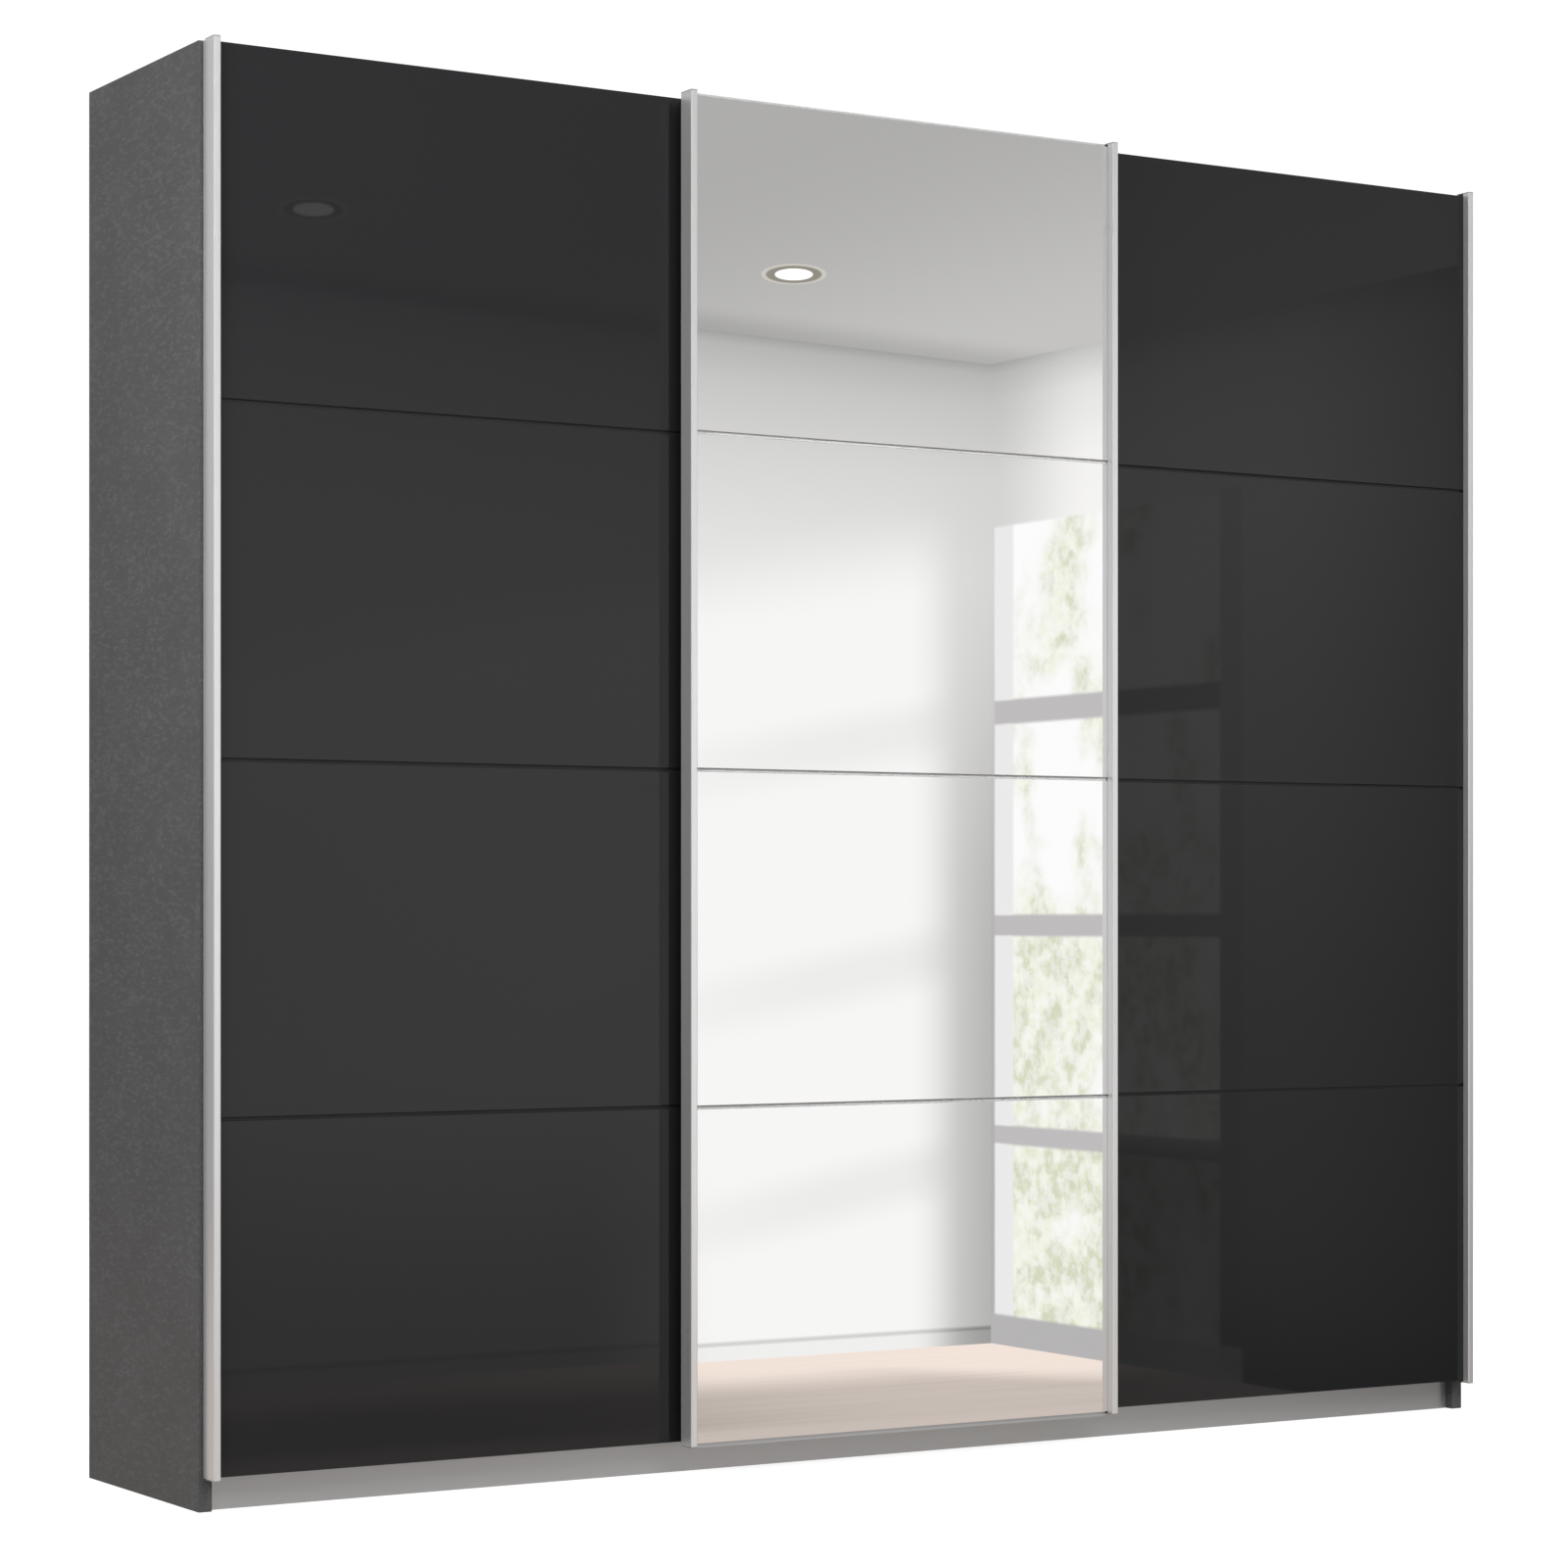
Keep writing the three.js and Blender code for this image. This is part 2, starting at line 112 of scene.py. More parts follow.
class Sheet:
    """A node tree under construction, with one method that adds any node."""

    def __init__(self, tree: bpy.types.NodeTree) -> None:
        """Starts from an emptied tree."""
        self.tree = tree
        self.tree.nodes.clear()

    def node(
        self,
        kind: str,
        settings: Optional[dict[str, Any]] = None,
        inputs: Optional[dict[Union[str, int], Any]] = None,
        output: Union[str, int] = 0,
    ) -> Wire:
        """Adds a node.

        Args:
            kind: The node's type.
            settings: Properties set first; "stops" holds a colour ramp's stops.
            inputs: Values or wires by socket name or number.
            output: Name or number of the output that is handed on.

        Returns:
            The chosen output as a wire.
        """
        made = self.tree.nodes.new(kind)
        for name, value in (settings or {}).items():
            if name == "stops":
                self._set_stops(made.color_ramp, value)
            else:
                setattr(made, name, value)
        for key, value in (inputs or {}).items():
            if isinstance(value, Wire):
                self.tree.links.new(value.socket, made.inputs[key])
            else:
                made.inputs[key].default_value = value
        return Wire(self, made.outputs[output]) if len(made.outputs) else Wire(self, None)

    @staticmethod
    def _set_stops(ramp: bpy.types.ColorRamp, stops: Sequence[tuple[float, Colour]]) -> None:
        """Gives a ramp its stops, from left to right."""
        while len(ramp.elements) < len(stops):
            ramp.elements.new(1.0)
        for element, (place, colour) in zip(ramp.elements, stops):
            element.position = place
            element.color = (*colour, 1.0)


class Paint(Sheet):
    """The node tree of one material, with the patterns that the finishes share."""

    def __init__(self, name: str) -> None:
        """Makes the material and empties its tree."""
        self.material = bpy.data.materials.new(name)
        self.material.use_nodes = True
        super().__init__(self.material.node_tree)
        self.place = self.node("ShaderNodeTexCoord", output="Object")

    def axis(self, letter: str) -> Wire:
        """One object coordinate, X, Y or Z, in metres."""
        return self.node("ShaderNodeSeparateXYZ", inputs={0: self.place}, output=letter)

    def stretched(self, scale: Point, shift: Point = (0.0, 0.0, 0.0)) -> Wire:
        """Object coordinates multiplied per axis, then shifted."""
        grown = self.node(
            "ShaderNodeVectorMath", {"operation": "MULTIPLY"}, {0: self.place, 1: tuple(scale)}
        )
        return self.node("ShaderNodeVectorMath", {"operation": "ADD"}, {0: grown, 1: tuple(shift)})

    def noise(self, scale: Union[float, Point], detail: float = 2.0, shift: float = 0.0) -> Wire:
        """Noise from 0 to 1.

        Args:
            scale: Waves per metre, alike on all axes or one number for each.
            detail: Octaves.
            shift: Moves the pattern, so that two finishes differ.

        Returns:
            The noise value.
        """
        sizes = (scale,) * 3 if isinstance(scale, (int, float)) else scale
        return self.node(
            "ShaderNodeTexNoise",
            inputs={
                "Vector": self.stretched(sizes, (shift, shift, shift)),
                "Scale": 1.0,
                "Detail": detail,
                "Roughness": 0.55,
            },
        )

    def mix(self, factor: Union[Wire, float], first: Any, second: Any) -> Wire:
        """Mixes two colours.

        Args:
            factor: Share of the second colour.
            first: Colour or wire.
            second: Colour or wire.

        Returns:
            The mixed colour.
        """
        first, second = (
            value if isinstance(value, Wire) else (*value, 1.0) for value in (first, second)
        )
        return self.node(
            "ShaderNodeMix",
            {"data_type": "RGBA"},
            {0: factor, 6: first, 7: second},
            output=2,
        )

    def vary(self, factor: Wire, colour: Colour, low: float, high: float) -> Wire:
        """The colour times low where the factor is 0, times high where it is 1."""
        return self.mix(factor, shade(colour, low), shade(colour, high))

    def bump(self, height: Wire, strength: float, depth: float) -> Wire:
        """A surface normal from a height pattern, strength of a depth in metres."""
        return self.node(
            "ShaderNodeBump", inputs={"Height": height, "Strength": strength, "Distance": depth}
        )

    def finish(self, **sockets: Any) -> bpy.types.Material:
        """Ends the tree in a Principled BSDF whose sockets are given by name, _ for a space."""
        inputs = {name.replace("_", " "): value for name, value in sockets.items()}
        if "IOR Level" in inputs:
            inputs["Specular IOR Level"] = inputs.pop("IOR Level")
        if not isinstance(inputs.get("Base Color"), Wire):
            inputs["Base Color"] = (*inputs["Base Color"], 1.0)
        shader = self.node("ShaderNodeBsdfPrincipled", inputs=inputs)
        self.node("ShaderNodeOutputMaterial", inputs={"Surface": shader})
        return self.material

    def glow(self, colour: Any) -> bpy.types.Material:
        """Ends the tree in plain emission of a colour."""
        shader = self.node("ShaderNodeEmission", inputs={"Color": colour, "Strength": 1.0})
        self.node("ShaderNodeOutputMaterial", inputs={"Surface": shader})
        return self.material


def shade(colour: Colour, factor: float) -> Colour:
    """The colour made lighter or darker."""
    return tuple(part * factor for part in colour)


# ------------------------------------------------------------------ finishes


@dataclass(frozen=True)
class Finish:
    """A surface finish: a name, a main colour, and nodes that each kind mixes in its own way."""

    name: str
    colour: Colour

    def material(self) -> bpy.types.Material:
        """The finish's material, made at its first use."""
        return bpy.data.materials.get(self.name) or self.mixed(Paint(self.name))

    def mixed(self, paint: Paint) -> bpy.types.Material:
        """Builds the material's nodes."""
        raise NotImplementedError


@dataclass(frozen=True)
class SpeckledBoard(Finish):
    """Melamine board with a fine pearly speckle in its print."""

    pearl: Colour = (0.3, 0.3, 0.31)

    def mixed(self, paint: Paint) -> bpy.types.Material:
        """Dark ground, light flecks at two sizes, a matt grained surface."""
        fine = paint.noise((340.0, 120.0, 340.0), 2.0)
        coarse = paint.noise((170.0, 55.0, 170.0), 1.0, 5.0)
        mottle = fine * 0.4 + coarse * 0.6
        flecks = mottle.ease(0.48, 0.66)
        pits = mottle.ease(0.50, 0.36)
        cloud = paint.noise(7.0, 3.0, 9.0).ease(0.35, 0.65, 0.96, 1.04)
        ground = paint.mix(flecks * 0.17, self.colour, self.pearl)
        ground = paint.mix(pits * 0.18, ground, shade(self.colour, 0.5))
        clouded = paint.node(
            "ShaderNodeVectorMath", {"operation": "SCALE"}, {0: ground, "Scale": cloud}
        )
        return paint.finish(
            Base_Color=clouded,
            Roughness=0.46 + 0.14 * coarse,
            Normal=paint.bump(paint.noise(800.0, 2.0, 3.0), 0.25, 0.0002),
            IOR_Level=0.45,
        )


@dataclass(frozen=True)
class PrintedBoard(Finish):
    """Light melamine board printed with a fine linen weave."""

    thread: float = 0.10

    def mixed(self, paint: Paint) -> bpy.types.Material:
        """Crossed threads along the three axes over a cloudy ground."""
        fine, long = 900.0, 28.0
        sizes = ((long, fine, fine), (fine, long, fine), (fine, fine, long))
        along = [paint.noise(size, 2.0, 3.0 * i) for i, size in enumerate(sizes)]
        weave = (along[0] + along[1] + along[2]) / 3.0
        threads = weave.ease(0.40, 0.60)
        cloud = paint.noise(5.0, 3.0).ease(0.3, 0.7)
        base = paint.vary(threads, self.colour, 1.0 - self.thread, 1.0 + self.thread)
        base = paint.mix(cloud * 0.25, base, shade(self.colour, 0.9))
        return paint.finish(
            Base_Color=base,
            Roughness=0.5 + 0.16 * threads,
            Normal=paint.bump(weave, 0.3, 0.0003),
        )


@dataclass(frozen=True)
class Hardboard(Finish):
    """Thin back board, printed on the side that faces the room and raw fibre behind."""

    fibre: Colour = (0.25, 0.165, 0.095)
    turn_at: float = 0.0

    def mixed(self, paint: Paint) -> bpy.types.Material:
        """Print in front of the turning depth, pressed fibre behind it."""
        behind = paint.axis("Y").ease(self.turn_at - 0.2 * MM, self.turn_at + 0.2 * MM)
        threads = paint.noise((900.0, 900.0, 30.0), 2.0).ease(0.42, 0.58)
        printed = paint.vary(threads, self.colour, 0.9, 1.07)
        strands = paint.noise((130.0, 130.0, 420.0), 4.0, 2.0)
        blot = paint.noise(4.0, 3.0, 7.0).ease(0.3, 0.7)
        flecks = paint.noise(480.0, 2.0, 4.0).ease(0.62, 0.72)
        raw = paint.vary(strands.ease(0.35, 0.65), self.fibre, 0.78, 1.2)
        raw = paint.mix(blot * 0.35, raw, shade(self.fibre, 0.8))
        raw = paint.mix(flecks * 0.5, raw, shade(self.fibre, 0.45))
        return paint.finish(
            Base_Color=paint.mix(behind, printed, raw),
            Roughness=0.55 + 0.3 * behind,
            Normal=paint.bump(strands, 0.35, 0.0003),
        )


class Grain(Enum):
    """Direction in which a metal or foil is brushed."""

    ACROSS = (7.0, 1500.0, 1500.0)
    UPRIGHT = (1500.0, 1500.0, 7.0)


@dataclass(frozen=True)
class BrushedMetal(Finish):
    """Aluminium with fine lines from the extrusion die and the anodising bath."""

    grain: Grain = Grain.UPRIGHT
    roughness: float = 0.3
    metal: float = 1.0
    relief: float = 0.10

    def mixed(self, paint: Paint) -> bpy.types.Material:
        """Fine lines along the grain, faint handling marks."""
        lines = paint.noise(self.grain.value, 3.0)
        cloud = paint.noise(11.0, 3.0, 5.0)
        depth = 0.5 * self.relief
        base = paint.vary(lines.ease(0.3, 0.7), self.colour, 1.0 - depth, 1.0 + depth)
        return paint.finish(
            Base_Color=base,
            Metallic=self.metal,
            Roughness=self.roughness + self.relief * (lines - 0.5) + 0.06 * cloud,
            Normal=paint.bump(lines, self.relief, 0.0001),
        )


@dataclass(frozen=True)
class LacqueredGlass(Finish):
    """Clear glass lacquered dark on its back, with ground edges."""

    front: float = 0.0
    ground_edge: Colour = (0.012, 0.016, 0.015)

    def mixed(self, paint: Paint) -> bpy.types.Material:
        """Deep even colour under a clear face; the ground edge is paler and dull."""
        edge = paint.axis("Y").ease(self.front + 0.4 * MM, self.front + 0.9 * MM)
        cloud = paint.noise(1.7, 2.0)
        haze = paint.noise(30.0, 3.0, 4.0)
        face = paint.vary(cloud, self.colour, 0.94, 1.06)
        return paint.finish(
            Base_Color=paint.mix(edge, face, self.ground_edge),
            Roughness=(0.012 + 0.016 * haze) + 0.35 * edge,
            IOR_Level=0.36,
        )


@dataclass(frozen=True)
class SilveredGlass(Finish):
    """Mirror: bright in front, with a ground greenish edge and a painted back."""

    front: float = 0.0
    ground_edge: Colour = (0.52, 0.55, 0.54)

    def mixed(self, paint: Paint) -> bpy.types.Material:
        """Metal where the face is, dull glass at the edges."""
        edge = paint.axis("Y").ease(self.front + 0.4 * MM, self.front + 0.9 * MM)
        haze = paint.noise(18.0, 3.0)
        return paint.finish(
            Base_Color=paint.mix(edge, self.colour, self.ground_edge),
            Metallic=1.0 - edge,
            Roughness=0.002 + 0.004 * haze + 0.3 * edge,
        )


@dataclass(frozen=True)
class SpangledZinc(Finish):
    """Galvanised steel with its crystals."""

    crystal: float = 160.0

    def mixed(self, paint: Paint) -> bpy.types.Material:
        """Each crystal has its own grey and gloss."""
        cells = paint.node(
            "ShaderNodeTexVoronoi", inputs={"Vector": paint.place, "Scale": self.crystal}, output=1
        )
        grey = paint.node("ShaderNodeSeparateColor", inputs={0: cells})
        scratches = paint.noise(700.0, 3.0)
        return paint.finish(
            Base_Color=paint.vary(grey, self.colour, 0.82, 1.12),
            Metallic=1.0,
            Roughness=0.32 + 0.16 * grey + 0.08 * scratches,
            Normal=paint.bump(scratches, 0.08, 0.0002),
        )


@dataclass(frozen=True)
class Chrome(Finish):
    """Bright plated steel with faint draw lines."""

    def mixed(self, paint: Paint) -> bpy.types.Material:
        """Near-mirror metal."""
        lines = paint.noise((9.0, 900.0, 900.0), 3.0)
        return paint.finish(
            Base_Color=paint.vary(lines, self.colour, 0.96, 1.0),
            Metallic=1.0,
            Roughness=0.07 + 0.08 * lines,
        )


@dataclass(frozen=True)
class Moulded(Finish):
    """Moulded plastic or rubber with a fine spark-eroded texture."""

    roughness: float = 0.42
    texture: float = 0.2

    def mixed(self, paint: Paint) -> bpy.types.Material:
        """Fine grain and slight flow clouds."""
        grain = paint.noise(1500.0, 2.0)
        flow = paint.noise(45.0, 3.0, 6.0)
        return paint.finish(
            Base_Color=paint.vary(flow, self.colour, 0.9, 1.1),
            Roughness=self.roughness + 0.12 * (grain - 0.5),
            Normal=paint.bump(grain, self.texture, 0.0001),
        )


@dataclass(frozen=True)
class Pile(Finish):
    """Nylon bristles of a brush seal."""

    def mixed(self, paint: Paint) -> bpy.types.Material:
        """Tufts differ a little in tone."""
        tufts = paint.noise(420.0, 2.0)
        return paint.finish(
            Base_Color=paint.vary(tufts, self.colour, 0.7, 1.3),
            Roughness=0.6 + 0.2 * tufts,
        )


DOOR_LEFT_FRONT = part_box("door_left_pane_1")[0].y
DOOR_MIDDLE_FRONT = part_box("door_middle_pane_1")[0].y
BACK_MIDDLE = (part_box("back_panel_left")[0].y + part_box("back_panel_left")[1].y) / 2

GRAPHITE = SpeckledBoard("graphite_melamine", (0.086, 0.086, 0.087))
LINEN = PrintedBoard("linen_melamine", (0.62, 0.60, 0.57))
BACK = Hardboard("back_hardboard", (0.56, 0.54, 0.51), turn_at=BACK_MIDDLE)
PLINTH = BrushedMetal("brushed_plinth_foil", (0.55, 0.57, 0.59), Grain.ACROSS, 0.26, 0.7, 0.02)
SATIN = BrushedMetal("satin_anodised", (0.83, 0.83, 0.835), Grain.UPRIGHT, 0.27, 0.68)
MILL = BrushedMetal("mill_aluminium", (0.70, 0.705, 0.71), Grain.ACROSS, 0.34)
DARK_GLASS = LacqueredGlass(
    "dark_lacquered_glass", (0.0160, 0.0162, 0.0178), front=DOOR_LEFT_FRONT
)
MIRROR = SilveredGlass("silvered_glass", (0.97, 0.97, 0.97), front=DOOR_MIDDLE_FRONT)
DARK_CORE = SpeckledBoard("door_core_dark", (0.014, 0.014, 0.015), (0.03, 0.03, 0.03))
GREY_CORE = SpeckledBoard("door_core_grey", (0.78, 0.78, 0.78), (0.85, 0.85, 0.85))
ZINC = SpangledZinc("galvanised_steel", (0.60, 0.62, 0.64))
CHROME = Chrome("chrome_plate", (0.82, 0.83, 0.84))
WHEEL = Moulded("wheel_plastic", (0.66, 0.65, 0.61), 0.34)
GUIDE = Moulded("guide_nylon", (0.42, 0.42, 0.415), 0.4)
CAP = Moulded("cap_plastic", (0.36, 0.36, 0.365), 0.45)
GREY_CAP = Moulded("fitting_cap_plastic", (0.52, 0.50, 0.47), 0.45)
RUBBER = Moulded("buffer_rubber", (0.03, 0.03, 0.031), 0.7, 0.35)
BRISTLE = Pile("seal_pile", (0.05, 0.05, 0.052))


# -------------------------------------------------------------------- shapes


@dataclass(frozen=True)
class Box:
    """A CAD node's box at rest."""

    low: Vector
    high: Vector

    @classmethod
    def of(cls, node: str) -> "Box":
        """The box of a node by name."""
        return cls(*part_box(node))

    @property
    def middle(self) -> Vector:
        """Centre of the box."""
        return (self.low + self.high) / 2


AXES = {"x": Vector((1, 0, 0)), "y": Vector((0, 1, 0)), "z": Vector((0, 0, 1))}


class Shape:
    """A mesh being put together in metres, in the wardrobe's frame."""

    def __init__(self) -> None:
        """Starts empty."""
        self.mesh = bmesh.new()

    def prism(self, outline: Sequence[Point], axis: str, start: float, end: float) -> "Shape":
        """Adds a closed outline drawn out along an axis.

        Args:
            outline: Points in the plane across the axis, in the order x, y, z.
            axis: The axis's letter.
            start: Place of one end.
            end: Place of the other.

        Returns:
            The shape itself.
        """
        place = "xyz".index(axis)

        def vertex(point: Point, along: float) -> bmesh.types.BMVert:
            """One corner of the prism."""
            parts = list(point)
            parts.insert(place, along)
            return self.mesh.verts.new(parts)

        first = [vertex(p, start) for p in outline]
        last = [vertex(p, end) for p in outline]
        faces = [self.mesh.faces.new(first), self.mesh.faces.new(last)]
        for i in range(len(outline)):
            j = (i + 1) % len(outline)
            faces.append(self.mesh.faces.new((first[i], first[j], last[j], last[i])))
        bmesh.ops.recalc_face_normals(self.mesh, faces=faces)
        return self

    def slab(self, low: Point, high: Point) -> "Shape":
        """Adds a rectangular block."""
        outline = [(low[0], low[1]), (high[0], low[1]), (high[0], high[1]), (low[0], high[1])]
        return self.prism(outline, "z", low[2], high[2])

    def turned(
        self, profile: Sequence[Point], axis: str, centre: Point, steps: int = 24,
        ring: bool = False,
    ) -> "Shape":
        """Adds a profile turned about an axis.

        Args:
            profile: Pairs of radius and place along the axis, from one pole to the other.
            axis: The axis's letter.
            centre: Point that the axis runs through.
            steps: Sides of the turned shape.
            ring: Whether the profile closes on itself instead of ending on the axis.

        Returns:
            The shape itself.
        """
        along = AXES[axis]
        across = AXES["x"] if axis != "x" else AXES["y"]
        other = along.cross(across)
        rings = []
        for radius, place in profile:
            count = 1 if radius < 1e-9 else steps
            rings.append([
                self.mesh.verts.new(
                    Vector(centre) + along * place + radius * (
                        across * math.cos(2 * math.pi * k / steps)
                        + other * math.sin(2 * math.pi * k / steps)
                    )
                )
                for k in range(count)
            ])
        faces = []
        pairs = list(zip(rings, rings[1:])) + ([(rings[-1], rings[0])] if ring else [])
        for one, two in pairs:
            for k in range(steps):
                corners = dict.fromkeys((
                    one[k % len(one)], one[(k + 1) % len(one)],
                    two[(k + 1) % len(two)], two[k % len(two)],
                ))
                if len(corners) > 2:
                    faces.append(self.mesh.faces.new(list(corners)))
        bmesh.ops.recalc_face_normals(self.mesh, faces=faces)
        return self

    def rounded(self, width: float) -> "Shape":
        """Rounds every sharp edge by a width."""
        sharp = [e for e in self.mesh.edges if e.calc_face_angle(0.0) > SHARP_EDGE]
        bmesh.ops.bevel(
            self.mesh, geom=sharp, offset=width, segments=2, affect="EDGES", profile=0.5
        )
        return self

    def data(self, name: str) -> bpy.types.Mesh:
        """The finished mesh."""
        bmesh.ops.remove_doubles(self.mesh, verts=self.mesh.verts, dist=1e-6)
        made = bpy.data.meshes.new(name)
        self.mesh.to_mesh(made)
        self.mesh.free()
        return made

    def piece(self, name: str, finish: Finish, body: str, slot: str = "") -> bpy.types.Object:
        """Ends the shape as a piece that rides on a body.

        Args:
            name: The piece's name.
            finish: Its finish.
            body: CAD body that it moves with.
            slot: Not used.

        Returns:
            The piece.
        """
        made = bpy.data.objects.new(name, self.data(name))
        made.data.materials.append(finish.material())
        return placed(made, body)


def placed(piece: bpy.types.Object, body: str) -> bpy.types.Object:
    """Links a piece, lets it ride on its body, and logs it."""
    if piece.name not in bpy.context.scene.collection.objects:
        bpy.context.scene.collection.objects.link(piece)
    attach(piece, body)
    LOG.info("%s rides on %s with %d faces", piece.name, body, len(piece.data.polygons))
    return piece


def dress(node: str, finish: Finish, edge: float = 0.0, segments: int = 2) -> None:
    """Gives a CAD node its finish and eases its edges.

    Args:
        node: The node's name.
        finish: Its finish.
        edge: Width of the eased edge; none if zero.
        segments: Faces across the eased edge.
    """
    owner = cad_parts[node]
    material = finish.material()
    if owner.material_slots:
        for slot in owner.material_slots:
            slot.material = material
    else:
        owner.data.materials.append(material)
    if edge > 0:
        weld = owner.modifiers.new("weld", "WELD")
        weld.merge_threshold = 1e-5
        bevel = owner.modifiers.new("eased_edges", "BEVEL")
        bevel.width = edge
        bevel.segments = segments
        bevel.limit_method = "ANGLE"
        bevel.angle_limit = SHARP_EDGE
    LOG.info("%s dressed in %s", node, finish.name)


def row(start: Point, end: Point, count: int) -> list[Vector]:
    """Evenly spaced points from start to end."""
    first, last = Vector(start), Vector(end)
    return [first.lerp(last, i / max(1, count - 1)) for i in range(count)]


# ------------------------------------------------------------ repeated things


class Growth(Sheet):
    """A Geometry Nodes tree with named inputs that ends in one plain mesh."""

    def __init__(self, name: str, inputs: Sequence[tuple[str, str]]) -> None:
        """Makes the tree.

        Args:
            name: The tree's name.
            inputs: Name and socket type of each input after the geometry.
        """
        tree = bpy.data.node_groups.new(name, "GeometryNodeTree")
        super().__init__(tree)
        tree.interface.new_socket("Geometry", in_out="OUTPUT", socket_type="NodeSocketGeometry")
        tree.interface.new_socket("Geometry", in_out="INPUT", socket_type="NodeSocketGeometry")
        for label, kind in inputs:
            tree.interface.new_socket(label, in_out="INPUT", socket_type=kind)
        self.entry = tree.nodes.new("NodeGroupInput")

    def given(self, name: str) -> Wire:
        """One of the tree's inputs."""
        return Wire(self, self.entry.outputs[name])

    def turned(self, own: Wire) -> Wire:
        """The rotation given as Turn, with a point's own angles added about its own axes."""
        turn, spin = (
            self.node("FunctionNodeEulerToRotation", inputs={0: angles})
            for angles in (self.given("Turn"), own)
        )
        settings = {"rotation_space": "LOCAL"}
        return self.node("FunctionNodeRotateRotation", settings, {0: turn, 1: spin})

    def close(self, geometry: Wire) -> None:
        """Makes the instances real, sets their material and ends the tree."""
        real = self.node("GeometryNodeRealizeInstances", inputs={0: geometry})
        dressed = self.node(
            "GeometryNodeSetMaterial", inputs={"Geometry": real, "Material": self.given("Finish")}
        )
        self.node("NodeGroupOutput", inputs={0: dressed})

    def grow(
        self, name: str, seeds: Iterable[Point], values: dict[str, Any], finish: Finish, body: str,
        slot: str = "",
    ) -> bpy.types.Object:
        """Runs the tree once and keeps its result as a plain mesh.

        Args:
            name: The piece's name.
            seeds: Points handed to the tree as its geometry.
            values: Values of the named inputs.
            finish: Finish of the result.
            body: Body that the piece rides on.
            slot: Not used.

        Returns:
            The piece.
        """
        points = bpy.data.meshes.new(name + "_seeds")
        points.from_pydata([tuple(p) for p in seeds], [], [])
        made = bpy.data.objects.new(name, points)
        bpy.context.scene.collection.objects.link(made)
        modifier = made.modifiers.new("growth", "NODES")
        modifier.node_group = self.tree
        for item in self.tree.interface.items_tree:
            if item.in_out == "INPUT" and item.name in values:
                modifier[item.identifier] = values[item.name]
            elif item.in_out == "INPUT" and item.name == "Finish":
                modifier[item.identifier] = finish.material()
        made.data.update()
        graph = bpy.context.evaluated_depsgraph_get()
        plain = bpy.data.meshes.new_from_object(made.evaluated_get(graph), depsgraph=graph)
        plain.name = name
        made.modifiers.clear()
        made.data = plain
        bpy.data.meshes.remove(points)
        return placed(made, body)


class Fasteners(Growth):
    """Sets a small template, such as a screw, at every seed point."""

    def __init__(self) -> None:
        """Builds the tree: template on points, turned alike, spun at random."""
        super().__init__("fasteners", [
            ("Template", "NodeSocketObject"),
            ("Scale", "NodeSocketFloat"),
            ("Turn", "NodeSocketVector"),
            ("Spin", "NodeSocketFloat"),
            ("Seed", "NodeSocketInt"),
            ("Finish", "NodeSocketMaterial"),
        ])
        template = self.node(
            "GeometryNodeObjectInfo", inputs={"Object": self.given("Template")}, output="Geometry"
        )
        spin = self.node(
            "FunctionNodeRandomValue",
            {"data_type": "FLOAT"},
            {2: self.given("Spin") * -1.0, 3: self.given("Spin"), "Seed": self.given("Seed")},
            output=1,
        )
        about = self.node("ShaderNodeCombineXYZ", inputs={"Z": spin})
        self.close(self.node("GeometryNodeInstanceOnPoints", inputs={
            "Points": self.given("Geometry"),
            "Instance": template,
            "Rotation": self.turned(about),
            "Scale": self.given("Scale"),
        }))


class Bristles(Growth):
    """A row of tapering tufts along a line, each leaning its own way."""

    def __init__(self) -> None:
        """Builds the tree: a line of points, cones on it, random lean and height."""
        super().__init__("bristles", [
            ("Start", "NodeSocketVector"),
            ("End", "NodeSocketVector"),
            ("Count", "NodeSocketInt"),
            ("Tuft Height", "NodeSocketFloat"),
            ("Tuft Radius", "NodeSocketFloat"),
            ("Turn", "NodeSocketVector"),
            ("Lean", "NodeSocketVector"),
            ("Seed", "NodeSocketInt"),
            ("Finish", "NodeSocketMaterial"),
        ])
        line = self.node("GeometryNodeMeshLine", {"mode": "END_POINTS"}, {
            "Count": self.given("Count"),
            "Start Location": self.given("Start"),
            "Offset": self.given("End"),
        })
        tuft = self.node("GeometryNodeMeshCone", inputs={
            "Vertices": 5,
            "Radius Top": self.given("Tuft Radius") * 0.45,
            "Radius Bottom": self.given("Tuft Radius"),
            "Depth": self.given("Tuft Height"),
        })
        back = self.node(
            "ShaderNodeVectorMath", {"operation": "SCALE"}, {0: self.given("Lean"), "Scale": -1.0}
        )
        lean = self.node(
            "FunctionNodeRandomValue",
            {"data_type": "FLOAT_VECTOR"},
            {0: back, 1: self.given("Lean"), "Seed": self.given("Seed")},
            output=0,
        )
        self.close(self.node("GeometryNodeInstanceOnPoints", inputs={
            "Points": line, "Instance": tuft, "Rotation": self.turned(lean),
        }))


class Facing(Enum):
    """Which way a template's top points, as the turn that takes it there."""

    UP = (0.0, 0.0, 0.0)
    DOWN = (math.pi, 0.0, 0.0)
    REAR = (-math.pi / 2, 0.0, 0.0)
    LEFT = (0.0, -math.pi / 2, 0.0)
    RIGHT = (0.0, math.pi / 2, 0.0)


